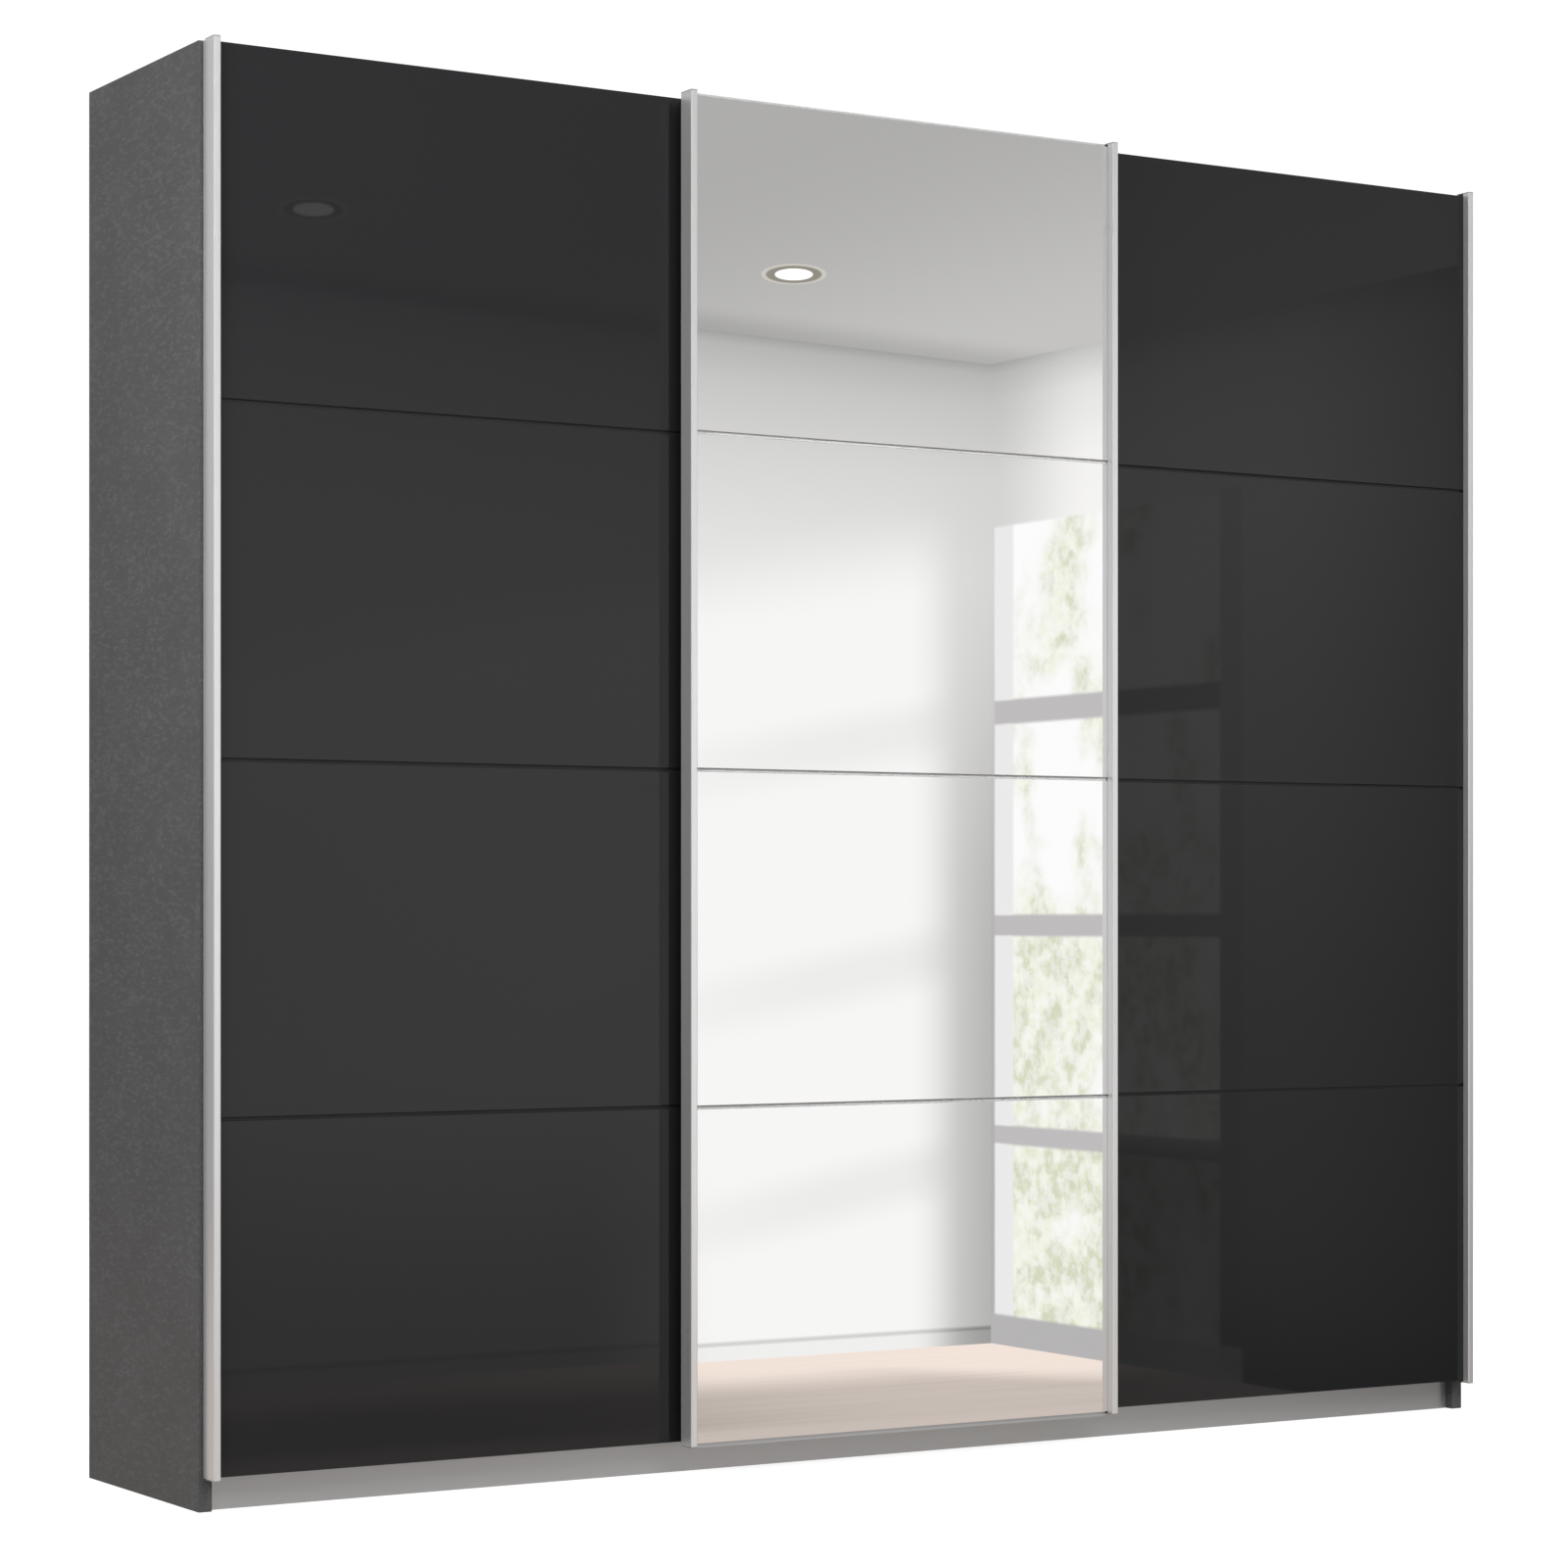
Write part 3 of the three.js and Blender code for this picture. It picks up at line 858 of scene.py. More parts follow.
class Hardware:
    """The small parts that repeat: screws, nails, pins and hole sleeves, as templates.

    TURNED holds, for each turned template, its sides and its profile of radius and height in mm.
    """

    TURNED = {
        "nail": (10, [(0, 1.1), (1.2, 1.0), (2.4, 0.6), (2.9, 0), (0, 0)]),
        "sleeve": (10, [(0, 0.05), (1.9, 0.05), (2.1, 0.4), (3.1, 0.3), (3.4, 0), (0, 0)]),
        "fitting_cap": (24, [
            (0, 0.9), (5.2, 0.9), (5.6, 0.6), (6.2, 0.6), (6.6, 1.1), (8.2, 0.9), (8.8, 0),
            (0, 0)]),
        "shelf_pin": (16, [
            (0, 9.0), (1.9, 9.0), (2.5, 8.3), (2.5, 2.2), (4.5, 1.8), (4.5, 0), (0, 0)]),
    }
    TUFT_RADIUS = 0.7 * MM
    TUFT_LEAN = (0.16, 0.16, 1.0)

    def __init__(self) -> None:
        """Makes the trees and the templates."""
        self.fasteners = Fasteners()
        self.bristles = Bristles()
        self.templates = {"pan_screw": self._pan_screw()}
        for name, (steps, profile) in self.TURNED.items():
            data = Shape().turned([(r * MM, z * MM) for r, z in profile], "z", (0, 0, 0), steps)
            self.templates[name] = bpy.data.objects.new(name, data.data(name))

    @staticmethod
    def _pan_screw() -> bpy.types.Object:
        """A pan head of 1.5 mm rise and 7 mm across, with a cross recess."""
        shape = Shape()
        mesh = shape.mesh
        steps, arm, slot, rise, depth = 16, 0.0017, 0.00042, 0.0015, 0.0010

        def ring(radius: float, height: float) -> list[bmesh.types.BMVert]:
            """One ring of the head."""
            angles = [2 * math.pi * (k + 0.5) / steps for k in range(steps)]
            return [mesh.verts.new((radius * math.cos(a), radius * math.sin(a), height))
                    for a in angles]

        plus = [(arm, slot), (slot, slot), (slot, arm), (-slot, arm), (-slot, slot), (-arm, slot),
                (-arm, -slot), (-slot, -slot), (-slot, -arm), (slot, -arm), (slot, -slot),
                (arm, -slot)]
        upper = [mesh.verts.new((x, y, rise)) for x, y in plus]
        lower = [mesh.verts.new((x * 0.8, y * 0.8, rise - depth)) for x, y in plus]
        rings = [ring(0.0024, rise), ring(0.0033, rise * 0.66), ring(0.0036, 0.0)]
        edges = [mesh.edges.new((loop[k], loop[(k + 1) % len(loop)]))
                 for loop in (upper, rings[0]) for k in range(len(loop))]
        bmesh.ops.triangle_fill(mesh, edges=edges, use_beauty=True, normal=(0, 0, 1))
        for one, two in ((upper, lower), (rings[0], rings[1]), (rings[1], rings[2])):
            for k in range(len(one)):
                j = (k + 1) % len(one)
                mesh.faces.new((one[k], one[j], two[j], two[k]))
        mesh.faces.new(lower)
        mesh.faces.new(rings[2])
        bmesh.ops.recalc_face_normals(mesh, faces=mesh.faces)
        return bpy.data.objects.new("pan_screw", shape.data("pan_screw"))

    def fasten(
        self, name: str, template: str, places: Iterable[Point], facing: Facing, finish: Finish,
        body: str, slot: str = "", scale: float = 1.0, spin: float = math.pi,
    ) -> bpy.types.Object:
        """Sets a template at every place, as one piece.

        Args:
            name: The piece's name.
            template: Name of the template.
            places: Points on the surface.
            facing: Way that the template's top points.
            finish: Its finish.
            body: Body that it rides on.
            slot: Name of a material slot, handed on to grow.
            scale: Size against the template.
            spin: Largest random turn about its own axis, in radians.

        Returns:
            The piece.
        """
        values = {
            "Template": self.templates[template],
            "Scale": scale,
            "Turn": facing.value,
            "Spin": spin,
            "Seed": len(name),
        }
        return self.fasteners.grow(name, places, values, finish, body, slot)

    def steel(
        self, name: str, template: str, places: Iterable[Point], facing: Facing,
        body: str = "carcass", scale: float = 1.0,
    ) -> bpy.types.Object:
        """Sets a galvanised steel template at every place, as fasten does."""
        return self.fasten(name, template, places, facing, ZINC, body, "zinc_steel", scale)

    def brush(
        self, name: str, start: Point, end: Point, pitch: float, height: float, facing: Facing,
        body: str,
    ) -> bpy.types.Object:
        """Grows a brush seal along a line.

        Args:
            name: The piece's name.
            start: One end of the line.
            end: The other end.
            pitch: Spacing of the tufts.
            height: How far they stand out.
            facing: Way that they point.
            body: Body that they ride on.

        Returns:
            The piece.
        """
        length = (Vector(end) - Vector(start)).length
        values = {
            "Start": tuple(start),
            "End": tuple(end),
            "Count": int(length / pitch) + 1,
            "Tuft Height": height,
            "Tuft Radius": self.TUFT_RADIUS,
            "Turn": facing.value,
            "Lean": self.TUFT_LEAN,
            "Seed": 7,
        }
        return self.bristles.grow(name, [(0, 0, 0)], values, BRISTLE, body)


# ------------------------------------------------------------------- carcass


@dataclass
class Carcass:
    """Side panels, partitions, top, bottoms, backs and plinths, with their fittings."""

    hardware: Hardware
    board_edge: float = 0.0009
    screw_count: int = 15
    strip_width: float = 0.026
    strip_rise: float = 0.0011
    nail_margin: float = 0.03
    screw_margin: float = 0.05
    cap_inset: float = 0.045
    cap_rows: Sequence[float] = (-0.055, 0.19)

    def dress(self) -> None:
        """Gives every board its finish."""
        for node in ("side_panel_left", "side_panel_right"):
            dress(node, GRAPHITE, self.board_edge, 3)
        for node in ("partition_left", "partition_right", "top_panel", "plinth_rear"):
            dress(node, LINEN, self.board_edge)
        dress("plinth_front", PLINTH, self.board_edge)
        for bay in ("left", "middle", "right"):
            dress(f"bottom_panel_{bay}", LINEN, self.board_edge)
            dress(f"back_panel_{bay}", BACK)

    def build(self) -> None:
        """Adds strips, nails and caps."""
        self._joining_strips()
        self._nails()
        self._fitting_caps()

    def _joining_strips(self) -> None:
        """Plastic strips that hold two back panels together behind each partition."""
        for side, (one, two) in {"left": ("left", "middle"), "right": ("middle", "right")}.items():
            first, second = Box.of(f"back_panel_{one}"), Box.of(f"back_panel_{two}")
            middle = (first.high.x + second.low.x) / 2
            half, rear = self.strip_width / 2, first.high.y
            low = (middle - half, rear, first.low.z + 2 * MM)
            high = (middle + half, rear + self.strip_rise, first.high.z - 2 * MM)
            strip = Shape().slab(low, high).rounded(0.4 * MM)
            strip.piece(f"back_strip_{side}", CAP, "carcass")

    def _nails(self) -> None:
        """Nails along the top and the bottom, screws through the joining strips."""
        places = []
        top, bottom = Box.of("top_panel"), Box.of("bottom_panel_left")
        for bay in ("left", "middle", "right"):
            back = Box.of(f"back_panel_{bay}")
            left, right = back.low.x + self.nail_margin, back.high.x - self.nail_margin
            for height in (top.middle.z, bottom.middle.z):
                places += row((left, back.high.y, height), (right, back.high.y, height), 7)
        self.hardware.steel("back_nails", "nail", places, Facing.REAR)
        strips = []
        for side in ("left", "right"):
            post = Box.of(f"partition_{side}").middle.x
            rear = Box.of("back_panel_middle").high.y + self.strip_rise
            low, high = bottom.high.z + self.screw_margin, top.low.z - self.screw_margin
            strips += row((post, rear, low), (post, rear, high), self.screw_count)
        self.hardware.steel("back_strip_screws", "pan_screw", strips, Facing.REAR)

    def _fitting_caps(self) -> None:
        """Caps over the cam fittings, under the top and on the bottoms."""
        under, over = [], []
        top = Box.of("top_panel")
        for bay in ("left", "middle", "right"):
            bottom = Box.of(f"bottom_panel_{bay}")
            for x in (bottom.low.x + self.cap_inset, bottom.high.x - self.cap_inset):
                for y in self.cap_rows:
                    under.append((x, y, top.low.z))
                    over.append((x, y, bottom.high.z))
        self.hardware.fasten(
            "top_fitting_caps", "fitting_cap", under, Facing.DOWN, GREY_CAP, "carcass"
        )
        self.hardware.fasten(
            "bottom_fitting_caps", "fitting_cap", over, Facing.UP, GREY_CAP, "carcass"
        )


@dataclass
class Bay:
    """One bay's shelf, hanging rail, pins and rows of sleeved holes."""

    hardware: Hardware
    name: str
    hole_pitch: float = 0.032
    hole_count: int = 46
    hole_start: float = 0.35
    hole_setback: float = 0.037
    shelf_clearance: float = 0.02
    pin_setback: float = 0.04
    pin_drop: float = 0.0046
    wall_gap: float = 0.0003
    flange_thickness: float = 0.0024
    flange: Sequence[float] = (0.0125, 0.026)
    cup: Sequence[float] = (0.0098, 0.0175)
    cup_bore: Sequence[float] = (0.0079, 0.0154)
    cup_length: float = 0.014
    screw_reach: float = 0.0218

    def dress(self) -> None:
        """Gives the shelf and the rail their finishes."""
        dress(f"shelf_{self.name}", LINEN, 0.8 * MM)
        dress(f"hanging_rail_{self.name}", CHROME)

    def build(self) -> None:
        """Adds rail sockets, shelf pins and hole sleeves."""
        bottom = Box.of(f"bottom_panel_{self.name}")
        shelf = Box.of(f"shelf_{self.name}")
        rail = Box.of(f"hanging_rail_{self.name}")
        walls = {"left": bottom.low.x - self.wall_gap, "right": bottom.high.x + self.wall_gap}
        for side, wall in walls.items():
            inwards = 1 if side == "left" else -1
            self._rail_socket(side, wall, inwards, rail)
            facing = Facing.RIGHT if inwards > 0 else Facing.LEFT
            pins = [
                (wall, y, shelf.low.z - self.pin_drop)
                for y in (shelf.low.y + self.pin_setback, shelf.high.y - self.pin_setback)
            ]
            self.hardware.steel(f"shelf_pins_{self.name}_{side}", "shelf_pin", pins, facing)
            holes = []
            for y in (shelf.low.y + self.hole_setback, shelf.high.y - self.hole_setback):
                top = self.hole_start + self.hole_pitch * (self.hole_count - 1)
                holes += row((wall, y, self.hole_start), (wall, y, top), self.hole_count)
            holes = [p for p in holes if abs(p.z - shelf.middle.z) > self.shelf_clearance]
            self.hardware.fasten(
                f"hole_sleeves_{self.name}_{side}", "sleeve", holes, facing, GREY_CAP, "carcass",
                spin=0.0,
            )

    def _rail_socket(self, side: str, wall: float, inwards: int, rail: Box) -> None:
        """A socket that cups the rail's end, screwed to the wall.

        Args:
            side: Which end of the rail.
            wall: Place of the wall's face.
            inwards: 1 if the bay is to the right of the wall, else -1.
            rail: The rail's box.
        """
        centre = rail.middle
        outer, cup, bore = (
            self._oval(centre, *size) for size in (self.flange, self.cup, self.cup_bore)
        )
        shape = Shape().prism(outer, "x", wall, wall + inwards * self.flange_thickness)
        shape.rounded(0.5 * MM)
        hollow = self._tube(cup, bore, wall, wall + inwards * self.cup_length)
        shape.mesh.from_mesh(hollow)
        bpy.data.meshes.remove(hollow)
        name = f"rail_socket_{self.name}_{side}"
        shape.piece(name, ZINC, "carcass", "zinc_steel")
        face = wall + inwards * self.flange_thickness
        spots = [(face, centre.y, centre.z + s * self.screw_reach) for s in (-1, 1)]
        facing = Facing.RIGHT if inwards > 0 else Facing.LEFT
        self.hardware.steel(f"{name}_screws", "pan_screw", spots, facing, scale=0.8)

    @staticmethod
    def _oval(centre: Vector, radius: float, reach: float) -> list[Point]:
        """An upright outline with round ends, in y and z."""
        straight, steps = reach - radius, 24
        points = []
        for k in range(steps):
            angle = 2 * math.pi * (k + 0.5) / steps
            rise = straight if math.sin(angle) > 0 else -straight
            points.append((centre.y + radius * math.cos(angle),
                           centre.z + rise + radius * math.sin(angle)))
        return points

    @staticmethod
    def _tube(
        outer: Sequence[Point], inner: Sequence[Point], start: float, end: float
    ) -> bpy.types.Mesh:
        """A tube between two outlines that match point by point.

        Args:
            outer: Outer outline in y and z.
            inner: Inner outline.
            start: Place of one end on x.
            end: Place of the other.

        Returns:
            The tube as a mesh.
        """
        shape = Shape()
        loops = [
            [shape.mesh.verts.new((x, *p)) for p in loop]
            for x, loop in ((start, outer), (end, outer), (end, inner), (start, inner))
        ]
        for one, two in zip(loops, loops[1:] + loops[:1]):
            for k in range(len(one)):
                j = (k + 1) % len(one)
                shape.mesh.faces.new((one[k], one[j], two[j], two[k]))
        bmesh.ops.recalc_face_normals(shape.mesh, faces=shape.mesh.faces)
        return shape.data("tube")


@dataclass
class Tracks:
    """Top and bottom track with their screws, end stops and rubber buffers."""

    hardware: Hardware
    stop_length: float = 0.030
    stop_inset: float = 0.022
    stop_half_width: float = 0.005
    stop_below_roller: float = 0.009
    stop_above_axle: float = 0.004
    buffer_drop: float = 0.003
    buffer: Sequence[Point] = (
        (0, 0.0), (0.0042, 0.0), (0.0042, 0.003), (0.0032, 0.0046), (0, 0.005))
    screw_count: int = 9
    screw_margin: float = 0.1
    web_rise: float = 0.003

    def dress(self) -> None:
        """Gives both tracks their finish."""
        dress("top_track", MILL, 0.3 * MM)
        dress("bottom_track", MILL, 0.2 * MM)

    def build(self) -> None:
        """Adds the stops, the buffers and the screws."""
        track = Box.of("top_track")
        outer, inner = Box.of("door_left_roller_left"), Box.of("door_middle_roller_left")
        for side, sign in (("left", -1), ("right", 1)):
            end = sign * (track.high.x - self.stop_inset)
            start = end - sign * self.stop_length
            for lane, roller in (("outer", outer), ("inner", inner)):
                self._stop(f"{lane}_{side}", start, end, roller)
        between = (outer.middle.y + inner.middle.y) / 2
        web = track.low.z + self.web_rise
        spots = row((track.low.x + self.screw_margin, between, web),
                    (track.high.x - self.screw_margin, between, web), self.screw_count)
        self.hardware.steel("top_track_screws", "pan_screw", spots, Facing.UP, scale=1.3)

    def _stop(self, name: str, start: float, end: float, roller: Box) -> None:
        """One end stop with its buffer.

        Args:
            name: Lane and side.
            start: Place on x of the face that the roller meets.
            end: Place of the other face.
            roller: Box of a roller in that lane.
        """
        middle = roller.middle.y
        low = (min(start, end), middle - self.stop_half_width,
               roller.low.z - self.stop_below_roller)
        high = (max(start, end), middle + self.stop_half_width,
                roller.middle.z + self.stop_above_axle)
        block = Shape().slab(low, high).rounded(1.0 * MM)
        block.piece(f"track_stop_{name}", ZINC, "carcass", "zinc_steel")
        away = 1 if end < start else -1
        profile = [(radius, away * place) for radius, place in self.buffer]
        centre = (start, middle, roller.middle.z - self.buffer_drop)
        pad = Shape().turned(profile, "x", centre, 16)
        pad.piece(f"track_buffer_{name}", RUBBER, "carcass")


# --------------------------------------------------------------------- doors


@dataclass
class Door:
    """One sliding door: its leaf, stiles, strips, caps, seals, hangers, rollers and guides."""

    hardware: Hardware
    name: str
    glass: Finish
    core: Finish
    brushes: Sequence[str] = ()
    top_strip: float = 0.0
    bottom_strip: float = 0.0
    pane_edge: float = 0.0013
    stile_edge: float = 0.0008
    cap_rise: float = 0.0016
    cap_inset: float = 0.00025
    cap_depth: float = 0.0335
    seal_inset: float = 0.0035
    seal_margin: float = 0.01
    seal_pitch: float = 0.0016
    seal_height: float = 0.0032
    strip_gap: float = 0.0003
    strip_setback: float = 0.0002
    plate_thickness: float = 0.0023
    screw_columns: Sequence[float] = (-0.021, 0.021)
    screw_rows: Sequence[float] = (0.014, 0.050)
    bearing: Sequence[Point] = (
        (0.0052, 0.0), (0.0086, 0.0), (0.0086, 0.00025), (0.0076, 0.00045), (0.0062, 0.00045),
        (0.0052, 0.00025))
    knob: Sequence[Point] = (
        (0, 0.0034), (0.0042, 0.0034), (0.0050, 0.0026), (0.0052, 0.0), (0, 0.0))
    knob_drop: float = 0.014
    knob_face: float = 0.0025

    def dress(self) -> None:
        """Gives the door's CAD nodes their finishes."""
        body = f"door_{self.name}"
        dress(f"{body}_board", self.core, 0.4 * MM)
        for i in range(1, 5):
            dress(f"{body}_pane_{i}", self.glass, self.pane_edge)
        for side in ("left", "right"):
            dress(f"{body}_stile_{side}", SATIN, self.stile_edge, 3)
            dress(f"{body}_hanger_{side}", ZINC, 0.3 * MM)
            dress(f"{body}_roller_{side}", WHEEL)
            dress(f"{body}_guide_{side}", GUIDE, 0.4 * MM)

    def build(self) -> None:
        """Adds strips, caps, screws, bearings, knobs and seals."""
        body = f"door_{self.name}"
        board = Box.of(f"{body}_board")
        if self.top_strip > 0:
            self._edge_strip("top", SATIN, board.high.z, board.high.z + self.top_strip)
        if self.bottom_strip > 0:
            self._edge_strip("bottom", PLINTH, board.low.z - self.bottom_strip, board.low.z)
        for side in ("left", "right"):
            stile = Box.of(f"{body}_stile_{side}")
            self._stile_caps(body, side, stile)
            self._hanger_screws(body, side)
            self._bearing(body, side)
            self._guide_knob(body, side)
            if side in self.brushes:
                x, rear = stile.low.x + self.seal_inset, stile.high.y
                if side == "right":
                    x = stile.high.x - self.seal_inset
                self.hardware.brush(
                    f"{body}_seal_{side}", (x, rear, stile.low.z + self.seal_margin),
                    (x, rear, stile.high.z - self.seal_margin), self.seal_pitch,
                    self.seal_height, Facing.REAR, body,
                )

    def _edge_strip(self, end: str, finish: Finish, base: float, tip: float) -> None:
        """A strip along the board's edge, between the stiles.

        Args:
            end: Which edge, top or bottom.
            finish: Its finish.
            base: Lower height.
            tip: Upper height.
        """
        body = f"door_{self.name}"
        board = Box.of(f"{body}_board")
        left = Box.of(f"{body}_stile_left").high.x + self.strip_gap
        right = Box.of(f"{body}_stile_right").low.x - self.strip_gap
        low = (left, board.low.y + self.strip_setback, base)
        high = (right, board.high.y - self.strip_setback, tip)
        Shape().slab(low, high).rounded(0.5 * MM).piece(f"{body}_{end}_strip", finish, body)

    def _stile_caps(self, body: str, side: str, stile: Box) -> None:
        """Plastic caps that close a stile's two ends."""
        inset = self.cap_inset
        rear = min(stile.high.y, stile.low.y + self.cap_depth) - inset
        for end, base, tip in (
            ("top", stile.high.z, stile.high.z + self.cap_rise),
            ("bottom", stile.low.z - self.cap_rise, stile.low.z),
        ):
            low = (stile.low.x + inset, stile.low.y + inset, base)
            high = (stile.high.x - inset, rear, tip)
            cap = Shape().slab(low, high).rounded(0.5 * MM)
            cap.piece(f"{body}_stile_cap_{side}_{end}", CAP, body)

    def _hanger_screws(self, body: str, side: str) -> None:
        """Four screws through the hanger's plate into the board."""
        plate = Box.of(f"{body}_hanger_{side}")
        face = plate.low.y + self.plate_thickness
        spots = [
            (plate.middle.x + dx, face, plate.low.z + dz)
            for dx in self.screw_columns for dz in self.screw_rows
        ]
        name = f"{body}_hanger_screws_{side}"
        self.hardware.steel(name, "pan_screw", spots, Facing.REAR, body, 1.2)

    def _bearing(self, body: str, side: str) -> None:
        """Steel ring of the ball bearing pressed into a roller."""
        node = f"{body}_roller_{side}"
        roller = Box.of(node)
        half = (roller.high.y - roller.low.y) / 2
        shape = Shape()
        for sign in (-1, 1):
            ring = [(radius, sign * (half + rise)) for radius, rise in self.bearing]
            shape.turned(ring, "y", roller.middle, 28, ring=True)
        shape.piece(f"{node}_bearing", ZINC, node, "zinc_steel")

    def _guide_knob(self, body: str, side: str) -> None:
        """Knob that pulls a guide's finger out of its groove."""
        node = f"{body}_guide_{side}"
        guide = Box.of(node)
        centre = (guide.middle.x, guide.low.y + self.knob_face, guide.high.z - self.knob_drop)
        Shape().turned(self.knob, "y", centre).piece(f"{node}_knob", CAP, node)


# --------------------------------------------------------------------- stage


@dataclass
class Room:
    """The bright room that the glass looks into, seen only in reflections: glowing planes
    painted with its light and shade.

    The back wall stands at back and the window wall at right; the planes reach to left and rear,
    from floor to ceiling. The window's places run along y, and every pair is a lower and an upper
    limit. The eye is the camera as the doors mirror it, which the lamps are drawn out towards.
    """

    back: float = -3.42
    right: float = 2.33
    left: float = -6.0
    rear: float = 6.0
    ceiling: float = 2.374
    ceiling_tilt: float = 0.028
    floor: float = -0.22
    lamps: Sequence[Point] = ((1.205, -2.586), (-0.021, -2.498))
    lamp_radius: float = 0.076
    lamp_depth: float = 1.9
    eye: Point = (-3.631, 5.28)
    window: tuple[float, float] = (-3.402, -2.357)
    window_heights: tuple[float, float] = (-0.14, 1.94)
    jamb: tuple[float, float] = (-3.402, -3.316)
    casing: tuple[float, float] = (-2.357, -2.272)
    bars: Sequence[Point] = ((1.417, 1.482), (0.859, 0.916), (0.31, 0.361))
    bar_shadows: Sequence[float] = (1.29, 0.69, 0.13)
    shadow_slope: float = 0.18
    shadow_foot: float = 1.437
    ledge: tuple[float, float] = (-0.183, -0.172)

    def build(self) -> None:
        """Makes the four planes and the lamps in the ceiling."""
        low, high = self.floor, self.ceiling
        far = high + self.ceiling_tilt * (self.right - self.left)
        self._plane("room_back", self._wall_paint(), [
            (self.left, self.back, low), (self.right, self.back, low),
            (self.right, self.back, high), (self.left, self.back, far)])
        self._plane("room_window_wall", self._window_paint(), [
            (self.right, self.back, low), (self.right, self.rear, low),
            (self.right, self.rear, high), (self.right, self.back, high)])
        self._plane("room_ceiling", self._ceiling_paint(), [
            (self.left, self.back, far), (self.right, self.back, high),
            (self.right, self.rear, high), (self.left, self.rear, far)])
        self._plane("room_floor", self._floor_paint(), [
            (self.left, self.back, low), (self.right, self.back, low),
            (self.right, self.rear, low), (self.left, self.rear, low)])
        for i, (x, y) in enumerate(self.lamps):
            self._lamp(f"room_lamp_{i}", x, y)

    @staticmethod
    def _only_reflected(thing: bpy.types.Object) -> None:
        """Shows a thing to reflected rays alone."""
        bpy.context.scene.collection.objects.link(thing)
        for ray in ("camera", "diffuse", "transmission", "volume_scatter", "shadow"):
            setattr(thing, f"visible_{ray}", False)

    def _plane(self, name: str, material: bpy.types.Material, corners: Sequence[Point]) -> None:
        """Adds one flat face of the room."""
        mesh = bpy.data.meshes.new(name)
        mesh.from_pydata([tuple(c) for c in corners], [], [(0, 1, 2, 3)])
        mesh.materials.append(material)
        self._only_reflected(bpy.data.objects.new(name, mesh))

    def _lamp(self, name: str, x: float, y: float) -> None:
        """Adds a recessed lamp: a bright disc in a steel ring, drawn out towards the eye."""
        paint = Paint(name)
        reach = paint.node("ShaderNodeVectorMath", {"operation": "LENGTH"}, {
            0: paint.stretched((1, 1, 0))}, output="Value")
        lit = reach.ease(0.046, 0.042)
        rim = reach.ease(0.062, 0.068)
        # The steel ring glows too: its dark tone and paler rim are painted light.
        tint = paint.mix(rim, (0.30, 0.28, 0.24), (0.62, 0.60, 0.55))
        radius, thickness = self.lamp_radius, 1.0 * MM
        mesh = Shape().turned(
            [(0, 0.0), (radius, 0.0), (radius, thickness), (0, thickness)], "z", (0, 0, 0), 40
        ).data(name)
        mesh.materials.append(paint.glow(paint.mix(lit, tint, (1.3, 1.3, 1.3))))
        lamp = bpy.data.objects.new(name, mesh)
        lamp.location = (x, y, self.ceiling + self.ceiling_tilt * (self.right - x) - 5 * MM)
        lamp.rotation_euler.z = math.atan2(x - self.eye[0], self.eye[1] - y)
        lamp.scale.y = self.lamp_depth
        self._only_reflected(lamp)

    def _by_height(self, paint: Paint, levels: Sequence[tuple[float, float]]) -> Wire:
        """Grey that changes with height.

        Args:
            paint: The material under way.
            levels: Pairs of height and brightness, from the floor up.

        Returns:
            The grey as a colour.
        """
        reach = self.ceiling - self.floor
        level = paint.axis("Z") + self.ceiling_tilt * (paint.axis("X") - self.right)
        share = (level - self.floor) / reach
        stops = [((z - self.floor) / reach, (v, 0.993 * v, 0.986 * v)) for z, v in levels]
        return paint.node("ShaderNodeValToRGB", {"stops": stops}, {0: share})

    @staticmethod
    def _span(value: Wire, low: float, high: float, soft: float = 0.006) -> Wire:
        """1 between two limits, 0 outside them."""
        return value.ease(low - soft, low + soft) * value.ease(high + soft, high - soft)

    def _corner_levels(self, paint: Paint) -> Wire:
        """Brightness of both walls where they meet, away from the sun."""
        return self._by_height(paint, [
            (-0.20, 0.45), (0.77, 0.47), (1.03, 0.50), (1.29, 0.56), (1.55, 0.64), (1.80, 0.70),
            (2.06, 0.68), (2.27, 0.57), (2.345, 0.485), (2.374, 0.38)])

    def _wall_paint(self) -> bpy.types.Material:
        """White wall with soft painted sun patches crossed by painted shadows of window bars."""
        paint = Paint("room_wall")
        x, z = paint.axis("X"), paint.axis("Z")
        climb = z - self.shadow_slope * (x - self.shadow_foot)
        patch = climb.ease(1.88, 1.60) * x.ease(2.24, 2.06)
        for height in self.bar_shadows:
            bar = (climb - height).ease(-0.13, -0.02) * (climb - height).ease(0.10, 0.0)
            patch = patch * (1.0 - 0.6 * bar * x.ease(0.9, 1.9))
        # Painted light: even brightness low down, painted shade in a dark line under the ceiling.
        open_wall = self._by_height(paint, [
            (-0.20, 0.80), (0.5, 0.82), (1.60, 0.82), (1.85, 0.79), (2.06, 0.70), (2.25, 0.59),
            (2.346, 0.485), (2.374, 0.37)])
        # Painted shade in the corner by the window wall, then the painted sun patches on top.
        level = paint.mix(x.ease(2.02, 2.39), open_wall, self._corner_levels(paint))
        level = paint.mix(patch, level, (0.955, 0.95, 0.945))
        # Painted shade: darker towards the left, and darker still low down on the left.
        level = paint.mix(x.ease(1.2, -0.8, 0.0, 0.35), level, (0.45, 0.45, 0.45))
        level = paint.mix(z.ease(0.6, -0.2, 0.0, 0.4) * x.ease(1.5, 1.1), level, (0.1, 0.1, 0.1))
